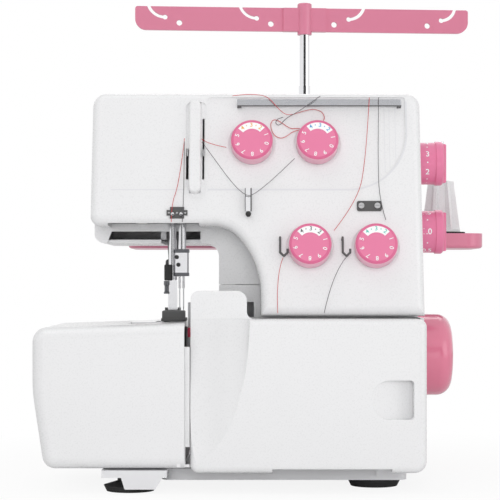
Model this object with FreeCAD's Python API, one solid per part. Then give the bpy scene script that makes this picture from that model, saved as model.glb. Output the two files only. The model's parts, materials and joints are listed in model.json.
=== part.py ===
"""Four-thread overlock sewing machine, modelled in millimetres as separate pieces.

The origin is the centre of the footprint on the table. X points to the user's right,
Y points away from the user and Z points up. Each piece is written to parts/NODE.step.
"""
import FreeCAD, Part
import math
import os

from FreeCAD import Vector as V

# Fits
RUNNING = 0.05            # radial clearance of a turning or sliding fit
SEAT = 0.02               # gap between faces that are fastened together
SEAM = 0.4                # visible gap between two casing shells
MOVE_GAP = 0.4            # least gap between pieces that move past each other

# Footprint of the whole machine, with its spool tray
OVERALL_WIDE = 338.0
OVERALL_DEEP = 282.0

# Casing shells
WALL = 2.6
BODY_RIGHT = 104.0
BODY_TOP = 282.0
HEAD_LEFT = -132.5
HEAD_FRONT_BOTTOM = 185.5
HEAD_REAR_BOTTOM = 174.0
COLUMN_LEFT = -41.5
SEAM_Z = 143.5            # joint between upper and lower rear casing
PART_Y = -62.0            # joint between front panel and rear casing
BACK_Y = 56.0
TOP_CORNER = 10.0
CHIN_CORNER = 7.0
THROAT_CORNER = 10.0
BACK_ROUND = 9.0

# Front panel
PANEL_BOTTOM = 121.8
PANEL_LEFT = -11.0
PANEL_FOOT_Y = -118.0     # front of the panel at its lower edge
PANEL_LEAN = 14.5         # degrees the panel leans back
PANEL_ROUND = 6.0
SWOOSH_TIGHT = 25.0       # upper radius of the curved left edge
SWOOSH_WIDE = 63.0        # lower radius of the same edge
SWOOSH_SPLIT = 50.0       # degrees where one radius hands over to the other
RECESS_LEFT = -49.0       # shallow recess round the upper dials
RECESS_RIGHT = 93.0
RECESS_BOTTOM = 212.0
RECESS_DROP = 3.0         # top of the recess below the casing's top
RECESS_TOP = BODY_TOP - RECESS_DROP
RECESS_SWEEP = 42.0
RECESS_DEPTH = 1.2

# Base
BASE_FRONT = -OVERALL_DEEP / 2
TRAY_BOTTOM = 6.0
TRAY_TOP = 14.0
TRAY_LEFT = -81.0
TRAY_RIGHT = 92.0
TRAY_SETBACK = 33.0       # tray behind the front of the covers
TRAY_FRONT = BASE_FRONT + TRAY_SETBACK
FOOT_RADIUS = 18.6
FOOT_TIP_RADIUS = 16.6
FOOT_RIM = 4.0            # height of the pad's edge
FOOT_FLARE = 3.0          # height over which a tall foot draws in to its neck
FOOT_NECK = 9.0
FOOT_CORNER_X = 70.0
FOOT_SETBACK = 21.0       # front right foot behind the tray's front
FOOT_FRONT_Y = TRAY_FRONT + FOOT_SETBACK
FOOT_BACK_Y = 34.0
FRONT_LEFT_FOOT_X = -102.4
LEFT_FOOT_SETBACK = 23.0  # front left foot behind the front of the covers
FRONT_LEFT_FOOT_Y = BASE_FRONT + LEFT_FOOT_SETBACK
LEG_LEFT = -109.0
LEG_RIGHT = -76.0
LEG_TIP_Z = 3.0

# Side cover, the cloth plate box on the left
SIDE_LEFT = -OVERALL_WIDE / 2
SIDE_RIGHT = -64.0
SIDE_FRONT = BASE_FRONT
SIDE_BACK = 6.0
SIDE_BOTTOM = 17.0
SIDE_TOP = 117.4
SIDE_SLOPE = 3.4          # drop of the top towards the left
SIDE_BELLY_Z = 70.0       # height where the left wall bulges most
SIDE_TUCK = 8.0           # how far the left wall draws in at the foot
SIDE_ROUND = 8.0

# Looper cover, the front door
DOOR_LEFT = -60.0
DOOR_RIGHT = 103.0
DOOR_FRONT = SIDE_FRONT
DOOR_DEPTH = 28.0
DOOR_BOTTOM = 14.0
DOOR_TOP = 120.0
DOOR_CAP_TOP = 139.5
DOOR_CAP_RIGHT = -21.0
DOOR_CAP_DEPTH = 22.0
DOOR_CORNER = 8.5
DOOR_CAP_CORNER = 7.0
DOOR_ROUND = 5.0
DOOR_LIP = 9.0            # depth of the turned-in lower edge
DOOR_TRAVEL = 8.0
HINGE_SETBACK = 15.0      # hinge rod behind the cover's front
HINGE_Y = DOOR_FRONT + HINGE_SETBACK
HINGE_Z = 22.0
HINGE_ROD_RADIUS = 2.0
SCOOP_REACH = 41.0        # scoop under the cap, measured right from the cover's left edge
SCOOP_DEPTH = 13.0        # how far the scoop and the cap stand back
SCOOP_FOOT = 22.0         # height where the scoop runs out
NOTCH_LEFT = -3.5         # notch in the lower edge
NOTCH_RIGHT = 79.0
NOTCH_HIGH = 3.0
GRIP_LEFT = 65.0          # finger recess
GRIP_RIGHT = 94.0
GRIP_BOTTOM = 51.0
GRIP_TOP = 78.0
GRIP_DEPTH = 11.0
GRIP_CORNER = 2.5

os.makedirs("parts", exist_ok=True)

LEAN = math.radians(PANEL_LEAN)
PANEL_OUT = V(0, -math.cos(LEAN), math.sin(LEAN))
FAR = 400.0               # reach of cutting tools, past every piece
X_AXIS = V(1, 0, 0)
Y_AXIS = V(0, 1, 0)
Z_AXIS = V(0, 0, 1)


def save(name, *solids):
    """Write one node from one or more separate solids."""
    shape = solids[0] if len(solids) == 1 else Part.makeCompound(list(solids))
    shape.exportStep(f"parts/{name}.step")
    state = "ok" if shape.isValid() else "NOT VALID"
    print(f"{name}: {len(shape.Solids)} solid(s), {shape.Volume:.0f} mm3, {state}")


def box(x0, x1, y0, y1, z0, z1):
    """Box between two corners."""
    return Part.makeBox(x1 - x0, y1 - y0, z1 - z0, V(x0, y0, z0))


def rod(radius, start, end):
    """Solid cylinder between two points."""
    along = end - start
    return Part.makeCylinder(radius, along.Length, start, along)


def ring(outer, inner, start, end):
    """Tube between two points."""
    return rod(outer, start, end).cut(rod(inner, start, end))


def fuse(*shapes):
    """One clean solid from shapes that touch or overlap."""
    whole = shapes[0]
    for shape in shapes[1:]:
        whole = whole.fuse(shape)
    return whole.removeSplitter()


def rounded_outline(corners, y):
    """Closed wire in a plane of constant Y. Each corner is (x, z, radius)."""
    count = len(corners)
    entries, exits, middles = [], [], []
    for i, (x, z, radius) in enumerate(corners):
        here = V(x, y, z)
        to_last = V(corners[i - 1][0], y, corners[i - 1][1]) - here
        after = corners[(i + 1) % count]
        to_next = V(after[0], y, after[1]) - here
        to_last.normalize()
        to_next.normalize()
        half = to_last.getAngle(to_next) / 2
        if radius <= 0 or abs(half - math.pi / 2) < 1e-6:
            entries.append(here)
            exits.append(here)
            middles.append(None)
            continue
        set_back = radius / math.tan(half)
        bisector = to_last + to_next
        bisector.normalize()
        entries.append(here + to_last * set_back)
        exits.append(here + to_next * set_back)
        middles.append(here + bisector * (radius / math.sin(half) - radius))
    edges = []
    for i in range(count):
        if middles[i] is not None:
            edges.append(Part.Arc(entries[i], middles[i], exits[i]).toShape())
        start, end = exits[i], entries[(i + 1) % count]
        if (end - start).Length > 1e-6:
            edges.append(Part.LineSegment(start, end).toShape())
    return Part.Wire(Part.__sortEdges__(edges))


def prism(wire, depth):
    """Solid swept from a closed wire along +Y."""
    return Part.Face(wire).extrude(V(0, depth, 0))


def slab(corners, y0, y1):
    """Prism of a rounded outline between two Y planes."""
    return prism(rounded_outline(corners, y0), y1 - y0)


def edges_where(shape, test):
    """Edges whose every sampled point passes a test."""
    picked = []
    for edge in shape.Edges:
        points = edge.discretize(5)
        if all(test(point) for point in points):
            picked.append(edge)
    return picked


def upright_edges(shape):
    """Straight edges that run up and down."""
    return [e for e in shape.Edges if abs(e.tangentAt(e.FirstParameter).z) > 0.9]


def round_uprights(shape, radius):
    """Shape with its upright edges rounded."""
    return shape.makeFillet(radius, upright_edges(shape))


def panel_y(z, out=0.0):
    """Y of the leaning panel's outer face at a height, moved out along its normal."""
    return PANEL_FOOT_Y + (z - PANEL_BOTTOM) * math.tan(LEAN) - out / math.cos(LEAN)


def on_panel(x, z, out=0.0):
    """Point on the panel's outer face, moved out along its normal."""
    return V(x, panel_y(z), z) + PANEL_OUT * out


def behind_panel(out=0.0):
    """Half space behind the leaning face, moved out along its normal."""
    block = Part.makeBox(2 * FAR, 2 * FAR, 4 * FAR, V(-FAR, 0, -2 * FAR))
    block.rotate(V(0, 0, 0), X_AXIS, -PANEL_LEAN)
    block.translate(on_panel(0, PANEL_BOTTOM, out))
    return block


def lean_with_panel(shape, x, z, out=0.0):
    """Turn a shape whose +Z is outward and +Y is up, and seat it on the panel."""
    placed = shape.copy()
    placed.rotate(V(0, 0, 0), X_AXIS, 90 - PANEL_LEAN)
    placed.translate(on_panel(x, z, out))
    return placed


# Front panel: leaning shell with a curved left edge

def panel_wire(inset):
    """Panel outline in the XZ plane, drawn in by the wall where inset is positive."""
    left, right = HEAD_LEFT + inset, BODY_RIGHT - inset
    top, chin = BODY_TOP - inset, HEAD_FRONT_BOTTOM + inset
    foot, edge = PANEL_BOTTOM + inset, PANEL_LEFT + inset
    tight, wide = SWOOSH_TIGHT + inset, SWOOSH_WIDE + inset
    split = math.radians(SWOOSH_SPLIT)
    run = tight * math.sin(split) + wide * (1 - math.sin(split))
    drop = tight * (1 - math.cos(split)) + wide * math.cos(split)
    start = V(edge - run, 0, chin)
    upper_centre = start - V(0, 0, tight)
    lower_centre = V(edge - wide, 0, chin - drop)

    def upper(angle):
        return upper_centre + V(math.sin(angle), 0, math.cos(angle)) * tight

    def lower(angle):
        return lower_centre + V(math.sin(angle), 0, math.cos(angle)) * wide

    quarter = math.pi / 2
    crown = max(TOP_CORNER - inset, 1.0)
    lip = max(CHIN_CORNER - inset, 1.0)

    def corner(x, z, radius, sx, sz):
        centre = V(x - sx * radius, 0, z - sz * radius)
        side = centre + V(sx * radius, 0, 0)
        flat = centre + V(0, 0, sz * radius)
        middle = centre + V(sx, 0, sz) * (radius * math.sqrt(0.5))
        return side, middle, flat

    right_side, right_mid, right_flat = corner(right, top, crown, 1, 1)
    left_side, left_mid, left_flat = corner(left, top, crown, -1, 1)
    chin_side, chin_mid, chin_flat = corner(left, chin, lip, -1, -1)
    edges = [
        Part.LineSegment(V(edge, 0, foot), V(right, 0, foot)),
        Part.LineSegment(V(right, 0, foot), right_side),
        Part.Arc(right_side, right_mid, right_flat),
        Part.LineSegment(right_flat, left_flat),
        Part.Arc(left_flat, left_mid, left_side),
        Part.LineSegment(left_side, chin_side),
        Part.Arc(chin_side, chin_mid, chin_flat),
        Part.LineSegment(chin_flat, start),
        Part.Arc(start, upper(split / 2), upper(split)),
        Part.Arc(lower(split), lower((split + quarter) / 2), lower(quarter)),
        Part.LineSegment(lower(quarter), V(edge, 0, foot)),
    ]
    return Part.Wire([edge.toShape() for edge in edges])


def panel_block(inset):
    """Solid behind the leaning face, back to the casing joint."""
    wire = panel_wire(inset)
    reach = SIDE_FRONT - WALL
    wire.translate(V(0, reach, 0))
    depth = PART_Y - reach + (WALL if inset else 0)
    return prism(wire, depth).common(behind_panel(-inset))


# Tension dials: (x, z) of each centre on the panel
DIAL_RADIUS = 15.1
DIAL_HEIGHT = 11.0
DIAL_GAP = 0.6            # dial stands off the panel by this much
DIAL_ROUND = 2.0
DIAL_SEAT_RADIUS = 17.0
DIAL_SEAT_DEPTH = 0.8
DIAL_WALL = 3.0           # roof left over the post inside the dial
POST_RADIUS = 3.0
POST_TAIL = 14.0
POST_FLANGE_RADIUS = 7.0
POST_FLANGE = 2.0
DISC_RADIUS = 9.0
DISC_THICK = 0.8
DISC_PITCH = 1.1
UPPER_DIAL_Z = 244.8
LOWER_DIAL_Z = 170.0
DIALS = {
    "tension_dial_left_needle": (-17.5, UPPER_DIAL_Z),
    "tension_dial_right_needle": (29.5, UPPER_DIAL_Z),
    "tension_dial_upper_looper": (23.5, LOWER_DIAL_Z),
    "tension_dial_lower_looper": (70.0, LOWER_DIAL_Z),
}

# Take-up slot in the panel and the cover bar that stands in it
TAKE_UP_LEFT = -64.6
TAKE_UP_RIGHT = -50.4
TAKE_UP_BOTTOM = 205.0
TAKE_UP_TOP = 275.5
TAKE_UP_BAR_LEFT = -62.4
TAKE_UP_BAR_RIGHT = -54.0
TAKE_UP_BAR_PROUD = 5.0
TAKE_UP_BAR_END = 3.5     # how far the bar's body stops short of the slot's ends
TAKE_UP_SLOT_ROUND = 4.0

# Opening under the head for the needle and presser bars
HEAD_OPEN_LEFT = -120.0
HEAD_OPEN_RIGHT = -55.0
MOUTH_SLANT = 4.4         # slope of the rear opening's left end
MOUTH_DROP = 3.0          # its upper edge below the head's front edge


def slot_in_panel(left, right, bottom, top, radius):
    """Rounded cutter through the panel wall, square to the leaning face."""
    low, high = bottom / math.cos(LEAN), top / math.cos(LEAN)
    corners = [(left, low, radius), (right, low, radius), (right, high, radius), (left, high, radius)]
    cutter = slab(corners, -WALL, 2 * WALL)
    cutter.rotate(V(0, 0, 0), X_AXIS, -PANEL_LEAN)
    start = on_panel(0, 0)
    cutter.translate(start)
    return cutter


panel = panel_block(0.0)
face_edges = edges_where(panel, lambda p: abs((p - on_panel(0, PANEL_BOTTOM)).dot(PANEL_OUT)) < 1e-4)
panel = panel.makeFillet(PANEL_ROUND, face_edges)
recess = slab(
    [
        (RECESS_LEFT, RECESS_BOTTOM, 2.0),
        (RECESS_RIGHT, RECESS_BOTTOM, RECESS_SWEEP),
        (RECESS_RIGHT, RECESS_TOP, 2.0),
        (RECESS_LEFT, RECESS_TOP, 2.0),
    ],
    SIDE_FRONT,
    PART_Y,
)
recess = recess.cut(behind_panel(-RECESS_DEPTH))
panel = panel.cut(recess)
panel = panel.cut(panel_block(WALL))
for dial_x, dial_z in DIALS.values():
    seat_out = -RECESS_DEPTH if dial_z > RECESS_BOTTOM else 0.0
    seat = rod(DIAL_SEAT_RADIUS, V(0, 0, -DIAL_SEAT_DEPTH), V(0, 0, DIAL_HEIGHT))
    panel = panel.cut(lean_with_panel(seat, dial_x, dial_z, seat_out))
    hole = rod(POST_RADIUS + SEAT, V(0, 0, -2 * WALL), V(0, 0, WALL))
    panel = panel.cut(lean_with_panel(hole, dial_x, dial_z))
panel = panel.cut(slot_in_panel(TAKE_UP_LEFT, TAKE_UP_RIGHT, TAKE_UP_BOTTOM, TAKE_UP_TOP, TAKE_UP_SLOT_ROUND))
head_floor = HEAD_FRONT_BOTTOM + WALL
panel = panel.cut(
    box(
        HEAD_OPEN_LEFT, HEAD_OPEN_RIGHT,
        panel_y(head_floor, -WALL), PART_Y + WALL,
        HEAD_FRONT_BOTTOM - WALL, head_floor + WALL,
    )
)
save("front_panel", panel)


# Main frame sizes that the casings and the mechanism share
POST_LEFT = -30.0
POST_RIGHT = 5.0
POST_HALF_DEPTH = 28.0
ARM_BOTTOM = 190.0
ARM_TOP = 212.0
ARM_HALF_DEPTH = 20.0
HEAD_BLOCK_LEFT = -86.0
HEAD_BLOCK_RIGHT = -57.0
HEAD_BLOCK_FRONT = -84.0
BED_RAIL_FRONT = -46.0
BED_RAIL_BACK = -20.0
BED_RAIL_BOTTOM = 85.0
BED_LEFT = -104.0
BED_LEFT_RAIL = 11.0
SHAFT_Y = 0.0
SHAFT_Z = 90.0
SHAFT_RADIUS = 5.0
SHAFT_BOSS_RADIUS = 9.0

# Side dials on the right wall: stitch length above, differential feed below
SIDE_DIAL_Y = -33.0
STITCH_DIAL_Z = 234.0
FEED_DIAL_Z = 183.0
SIDE_DIAL_SHAFT = 3.0

# Power inlet and switch on the right wall
INLET_Y = 40.0
INLET_Z = 30.0
INLET_WIDE = 22.0
INLET_HIGH = 15.0
SWITCH_Z = 54.0
SWITCH_WIDE = 13.0
SWITCH_HIGH = 19.0
SWITCH_PIN_RADIUS = 1.5

# Presser lifter slot in the head's floor
LIFTER_X = -76.0
LIFTER_WIDE = 8.0
LIFTER_SLOT_BACK = 8.0


def rear_outline(inset):
    """Head and column as seen from the front, drawn in by inset."""
    left, right = HEAD_LEFT + inset, BODY_RIGHT - inset
    column = COLUMN_LEFT + inset
    crown = max(TOP_CORNER - inset, 1.0)
    chin = max(CHIN_CORNER - inset, 1.0)
    return [
        (column, SEAM_Z + SEAM, 0),
        (right, SEAM_Z + SEAM, 0),
        (right, BODY_TOP - inset, crown),
        (left, BODY_TOP - inset, crown),
        (left, HEAD_REAR_BOTTOM + inset, chin),
        (column, HEAD_REAR_BOTTOM + inset, THROAT_CORNER + inset),
    ]


def round_back(shape, y, radius):
    """Round the outline edges of a slab's back face, and leave its open foot sharp."""
    foot = SEAM_Z + SEAM + WALL

    def is_back(point):
        return abs(point.y - y) < 1e-4

    edges = [e for e in edges_where(shape, is_back) if e.BoundBox.ZMax > foot]
    return shape.makeFillet(radius, edges)


casing_front = PART_Y + SEAM
rear = round_back(slab(rear_outline(0.0), casing_front, BACK_Y), BACK_Y, BACK_ROUND)
hollow = slab(rear_outline(WALL), casing_front + WALL, BACK_Y - WALL)
hollow = round_back(hollow, BACK_Y - WALL, BACK_ROUND - WALL)
head_mouth = box(
    HEAD_LEFT + WALL, BODY_RIGHT - WALL, casing_front - WALL, casing_front + 2 * WALL,
    HEAD_FRONT_BOTTOM + WALL, BODY_TOP - WALL,
)
head_mouth = head_mouth.common(slab(rear_outline(WALL), casing_front - WALL, BACK_Y))
mouth_low = HEAD_REAR_BOTTOM - WALL
mouth_high = HEAD_FRONT_BOTTOM - MOUTH_DROP
bar_mouth = slab(
    [
        (HEAD_OPEN_LEFT - MOUTH_SLANT, mouth_low, 0), (HEAD_OPEN_RIGHT, mouth_low, 0),
        (HEAD_OPEN_RIGHT, mouth_high, 0), (HEAD_OPEN_LEFT, mouth_high, 0),
    ],
    casing_front - WALL, casing_front + 2 * WALL,
)
lifter_slot = box(
    LIFTER_X - LIFTER_WIDE, LIFTER_X + LIFTER_WIDE, casing_front - WALL, LIFTER_SLOT_BACK,
    HEAD_REAR_BOTTOM - WALL, HEAD_REAR_BOTTOM + 2 * WALL,
)
rear = rear.cut(hollow).cut(head_mouth).cut(bar_mouth).cut(lifter_slot)
for dial_z in (STITCH_DIAL_Z, FEED_DIAL_Z):
    hole = rod(
        SIDE_DIAL_SHAFT + RUNNING,
        V(BODY_RIGHT - 2 * WALL, SIDE_DIAL_Y, dial_z),
        V(BODY_RIGHT + WALL, SIDE_DIAL_Y, dial_z),
    )
    rear = rear.cut(hole)
save("rear_casing", rear)

# Lower casing round the drive, with a side wing beside the looper bay
CASING_BOTTOM = TRAY_TOP + SEAT
WING_FRONT = TRAY_FRONT
RAIL_GAP = 0.8


def upright_block(inset, bottom, top):
    """Lower casing block with rounded back corners, drawn in by inset."""
    front, back = casing_front + inset, BACK_Y - inset
    block = box(COLUMN_LEFT + inset, BODY_RIGHT - inset, front, back, bottom, top)
    corners = [e for e in edges_where(block, lambda p: abs(p.y - back) < 1e-4) if e.BoundBox.ZLength > 1]
    return block.makeFillet(BACK_ROUND - inset, corners)


base = upright_block(0.0, CASING_BOTTOM, SEAM_Z)
base = base.cut(upright_block(WALL, CASING_BOTTOM - WALL, SEAM_Z + WALL))
wing = box(BODY_RIGHT - WALL, BODY_RIGHT, WING_FRONT, casing_front, CASING_BOTTOM, DOOR_TOP)
base = fuse(base, wing)
base = base.cut(
    box(
        COLUMN_LEFT - WALL, COLUMN_LEFT + 2 * WALL, BED_RAIL_FRONT - RAIL_GAP, BED_RAIL_BACK + RAIL_GAP,
        BED_RAIL_BOTTOM - RAIL_GAP, SIDE_TOP + RAIL_GAP,
    )
)
base = base.cut(
    rod(
        SHAFT_BOSS_RADIUS + SEAT,
        V(BODY_RIGHT - 2 * WALL, SHAFT_Y, SHAFT_Z),
        V(BODY_RIGHT + WALL, SHAFT_Y, SHAFT_Z),
    )
)
for wide, high, z in ((INLET_WIDE, INLET_HIGH, INLET_Z), (SWITCH_WIDE, SWITCH_HIGH, SWITCH_Z)):
    base = base.cut(
        box(
            BODY_RIGHT - 2 * WALL, BODY_RIGHT + WALL, INLET_Y - wide / 2, INLET_Y + wide / 2,
            z - high / 2, z + high / 2,
        )
    )
THREAD_PORT_LEFT = -22.0   # dark opening beside the panel's lower left edge
THREAD_PORT_RIGHT = -16.0
THREAD_PORT_HIGH = 11.0
base = base.cut(
    box(
        THREAD_PORT_LEFT, THREAD_PORT_RIGHT, casing_front - WALL, casing_front + 2 * WALL,
        DOOR_TOP, DOOR_TOP + THREAD_PORT_HIGH,
    )
)
save("base_casing", base)

# Base tray with a shallow hollow underneath, feet and the front left leg
tray = box(TRAY_LEFT, TRAY_RIGHT, TRAY_FRONT, BACK_Y, TRAY_BOTTOM, TRAY_TOP)
tray = round_uprights(tray, CHIN_CORNER)
BRACKET_WIDE = 6.0
BRACKET_LEFT = -30.0
BRACKET_RIGHT = 70.0
BRACKET_HALF = 4.0
for left in (BRACKET_LEFT, BRACKET_RIGHT):
    right = left + BRACKET_WIDE
    ear = box(left, right, HINGE_Y, TRAY_FRONT + WALL, TRAY_TOP, HINGE_Z + BRACKET_HALF)
    root = box(
        left, right, TRAY_FRONT - WALL, TRAY_FRONT + 4 * WALL, TRAY_BOTTOM + WALL, HINGE_Z + BRACKET_HALF,
    )
    nose = rod(BRACKET_HALF, V(left, HINGE_Y, HINGE_Z), V(right, HINGE_Y, HINGE_Z))
    bore = rod(HINGE_ROD_RADIUS + RUNNING, V(left - 1, HINGE_Y, HINGE_Z), V(right + 1, HINGE_Y, HINGE_Z))
    ear_trim = box(
        left, right, HINGE_Y - BRACKET_HALF, HINGE_Y + BRACKET_HALF, TRAY_BOTTOM, HINGE_Z - BRACKET_HALF,
    )
    tray = fuse(tray, ear.cut(ear_trim), root, nose).cut(bore)
save("base_tray", tray)

FOOT_HEIGHT = TRAY_BOTTOM - SEAT


def rubber_foot(x, y, top):
    """Pad that stands on the table, with a neck above it where there is room for one."""
    rim = min(FOOT_RIM, top)
    pad = Part.makeCone(FOOT_TIP_RADIUS, FOOT_RADIUS, rim, V(x, y, 0), Z_AXIS)
    if top - rim < FOOT_FLARE:
        return pad if top - rim < 1e-6 else fuse(pad, rod(FOOT_RADIUS, V(x, y, rim), V(x, y, top)))
    flare = Part.makeCone(FOOT_RADIUS, FOOT_NECK, FOOT_FLARE, V(x, y, rim), Z_AXIS)
    neck = rod(FOOT_NECK, V(x, y, rim + FOOT_FLARE), V(x, y, top))
    return fuse(pad, flare, neck)


LEG_SLACK = 1.0           # leg bracket below the side cover
LEG_TOP = SIDE_BOTTOM - LEG_SLACK
LEG_THICK = 5.0
feet = [
    rubber_foot(FOOT_CORNER_X, FOOT_FRONT_Y, FOOT_HEIGHT),
    rubber_foot(FOOT_CORNER_X, FOOT_BACK_Y, FOOT_HEIGHT),
    rubber_foot(TRAY_LEFT + FOOT_RADIUS + WALL, FOOT_BACK_Y, FOOT_HEIGHT),
    rubber_foot(FRONT_LEFT_FOOT_X, FRONT_LEFT_FOOT_Y, LEG_TOP - LEG_THICK - SEAT),
]
save("rubber_feet", *feet)

SHIELD_TAPER_LEFT = 4.0   # how far the shield draws in towards its tip
SHIELD_TAPER_RIGHT = 8.0
SHIELD_CORNER = 1.0
SHIELD_GAP = 0.5          # between the shield and the foot behind it
leg_corners = [
    (LEG_LEFT + SHIELD_TAPER_LEFT, LEG_TIP_Z, SHIELD_CORNER),
    (LEG_RIGHT - SHIELD_TAPER_RIGHT, LEG_TIP_Z, SHIELD_CORNER),
    (LEG_RIGHT, LEG_TOP, 0), (LEG_LEFT, LEG_TOP, 0),
]
shield_back = FRONT_LEFT_FOOT_Y - FOOT_RADIUS - SHIELD_GAP
shield = slab(leg_corners, shield_back - WALL, shield_back)
deck = box(
    FRONT_LEFT_FOOT_X - FOOT_RADIUS, LEG_RIGHT, shield_back - WALL, TRAY_FRONT - SEAT,
    LEG_TOP - LEG_THICK, LEG_TOP,
)
STRUT_WIDE = 15.0
strut_front = FRONT_LEFT_FOOT_Y + FOOT_RADIUS + WALL
strut_back = strut_front + 2 * STRUT_WIDE
strut_left, strut_right = TRAY_LEFT - STRUT_WIDE, TRAY_LEFT - SEAT
tongue = box(strut_left, strut_right, TRAY_FRONT - 2 * WALL, strut_back, LEG_TOP - LEG_THICK, LEG_TOP)
strut = box(strut_left, strut_right, strut_front, strut_back, TRAY_BOTTOM, LEG_TOP)
save("leg_bracket", fuse(shield, deck, tongue, strut))


# Needle and presser line, shared by plate, covers and mechanism
NEEDLE_BAR_X = -67.8
NEEDLE_BAR_Y = -76.0
NEEDLE_BAR_RADIUS = 2.8
PRESSER_BAR_X = -75.0
PRESSER_BAR_Y = -66.0
PRESSER_BAR_RADIUS = 3.0
BED_TOP = 112.5
PLATE_TOP = 117.1
PLATE_RIGHT = SIDE_RIGHT - MOVE_GAP
PLATE_FRONT = -100.0
PLATE_BACK = -40.0
PLATE_GAP = 1.2           # gap between needle plate and side cover
PLATE_CORNER = 1.5

# Side cover
RIB_THICK = 2.4
RIB_BOTTOM = 98.0
LIP_SETBACK = 4.0         # recessed lip beside the looper cover
LIP_TOP = 101.0
LIP_SLOT_BOTTOM = 20.0
LIP_SLOT_TOP = 32.0


def side_corners(inset, right):
    """Side cover outline from the front, drawn in by inset, with its open right side at right."""
    belly_radius = 120.0
    return [
        (right, SIDE_BOTTOM + inset, 0),
        (right, SIDE_TOP - inset, 0),
        (SIDE_LEFT + inset, SIDE_TOP - SIDE_SLOPE - inset, SIDE_ROUND + 2 - inset),
        (SIDE_LEFT + inset, SIDE_BELLY_Z, belly_radius),
        (SIDE_LEFT + SIDE_TUCK + inset, SIDE_BOTTOM + inset, SIDE_ROUND + 1 - inset),
    ]


def side_block(inset, right):
    """Side cover body with rounded front and back rims."""
    front, back = SIDE_FRONT + inset, SIDE_BACK - inset
    block = slab(side_corners(inset, right), front, back)
    rims = edges_where(block, lambda p: abs(p.y - front) < 1e-4)
    rims += edges_where(block, lambda p: abs(p.y - back) < 1e-4)
    rims = [e for e in rims if e.BoundBox.XMin < right - 1e-3]
    return block.makeFillet(SIDE_ROUND - inset, rims)


side = side_block(0.0, SIDE_RIGHT).cut(side_block(WALL, SIDE_RIGHT + 4 * WALL))
side = side.cut(
    box(
        BED_LEFT - PLATE_GAP, SIDE_RIGHT + WALL, PLATE_FRONT - PLATE_GAP, PLATE_BACK + PLATE_GAP,
        BED_TOP - WALL, SIDE_TOP + WALL,
    )
)
rib_left = SIDE_LEFT + SIDE_ROUND + WALL
rib_top = SIDE_TOP - SIDE_SLOPE - WALL / 2
back_rib = box(
    rib_left, SIDE_RIGHT - WALL, BED_RAIL_BACK + MOVE_GAP, BED_RAIL_BACK + MOVE_GAP + RIB_THICK,
    RIB_BOTTOM, rib_top,
)
front_rib = box(
    rib_left, BED_LEFT - 2 * PLATE_GAP, BED_RAIL_FRONT - MOVE_GAP - RIB_THICK, BED_RAIL_FRONT - MOVE_GAP,
    RIB_BOTTOM, rib_top,
)
lip_front = SIDE_FRONT + LIP_SETBACK
lip = box(
    SIDE_RIGHT - 2 * WALL, DOOR_LEFT - MOVE_GAP, lip_front, lip_front + WALL, SIDE_BOTTOM + 1, LIP_TOP,
)
lip_bridge = box(
    SIDE_RIGHT - 2 * WALL, SIDE_RIGHT - WALL, SIDE_FRONT + WALL / 2, lip_front + WALL, SIDE_BOTTOM + WALL / 2,
    LIP_TOP,
)
lip_slot = box(
    SIDE_RIGHT + 0.6, DOOR_LEFT, lip_front - WALL, lip_front + 2 * WALL, LIP_SLOT_BOTTOM, LIP_SLOT_TOP,
)
save("side_cover", fuse(side, back_rib, front_rib, lip.cut(lip_slot), lip_bridge))

# Looper cover
DOOR_BACK = DOOR_FRONT + DOOR_DEPTH


def door_corners(inset):
    """Looper cover outline from the front, drawn in by inset."""
    small = DOOR_ROUND + 0.5 - inset
    return [
        (DOOR_LEFT + inset, DOOR_BOTTOM + inset, small),
        (DOOR_RIGHT - inset, DOOR_BOTTOM + inset, DOOR_CORNER - inset),
        (DOOR_RIGHT - inset, DOOR_TOP - inset, small),
        (DOOR_CAP_RIGHT - inset, DOOR_TOP - inset, DOOR_ROUND + inset),
        (DOOR_CAP_RIGHT - inset, DOOR_CAP_TOP - inset, DOOR_CAP_CORNER - inset),
        (DOOR_LEFT + inset, DOOR_CAP_TOP - inset, small),
    ]


def door_block(inset, back):
    """Looper cover body with a rounded front rim."""
    front = DOOR_FRONT + inset
    block = slab(door_corners(inset), front, back)
    rim = edges_where(block, lambda p: abs(p.y - front) < 1e-4)
    return block.makeFillet(DOOR_ROUND - inset, rim)


def scoop(inset):
    """Cutter for the scoop and the space before the cap, grown by inset for the inner face."""
    depth, reach = SCOOP_DEPTH + inset, SCOOP_REACH + inset
    rise = DOOR_TOP - SCOOP_FOOT
    oval = Part.Ellipse(V(0, 0, 0), reach, depth)
    face = Part.Face(Part.Wire(oval.toShape()))
    face.translate(V(DOOR_LEFT, DOOR_FRONT - SCOOP_DEPTH, SCOOP_FOOT))
    trough = face.extrude(V(0, SCOOP_DEPTH, rise))
    front = DOOR_FRONT - SCOOP_DEPTH
    cap_room = box(
        DOOR_LEFT - FAR, DOOR_CAP_RIGHT + DOOR_ROUND, front, DOOR_FRONT + depth,
        DOOR_TOP - inset, DOOR_CAP_TOP + WALL,
    )
    return trough.fuse(cap_room)


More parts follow.
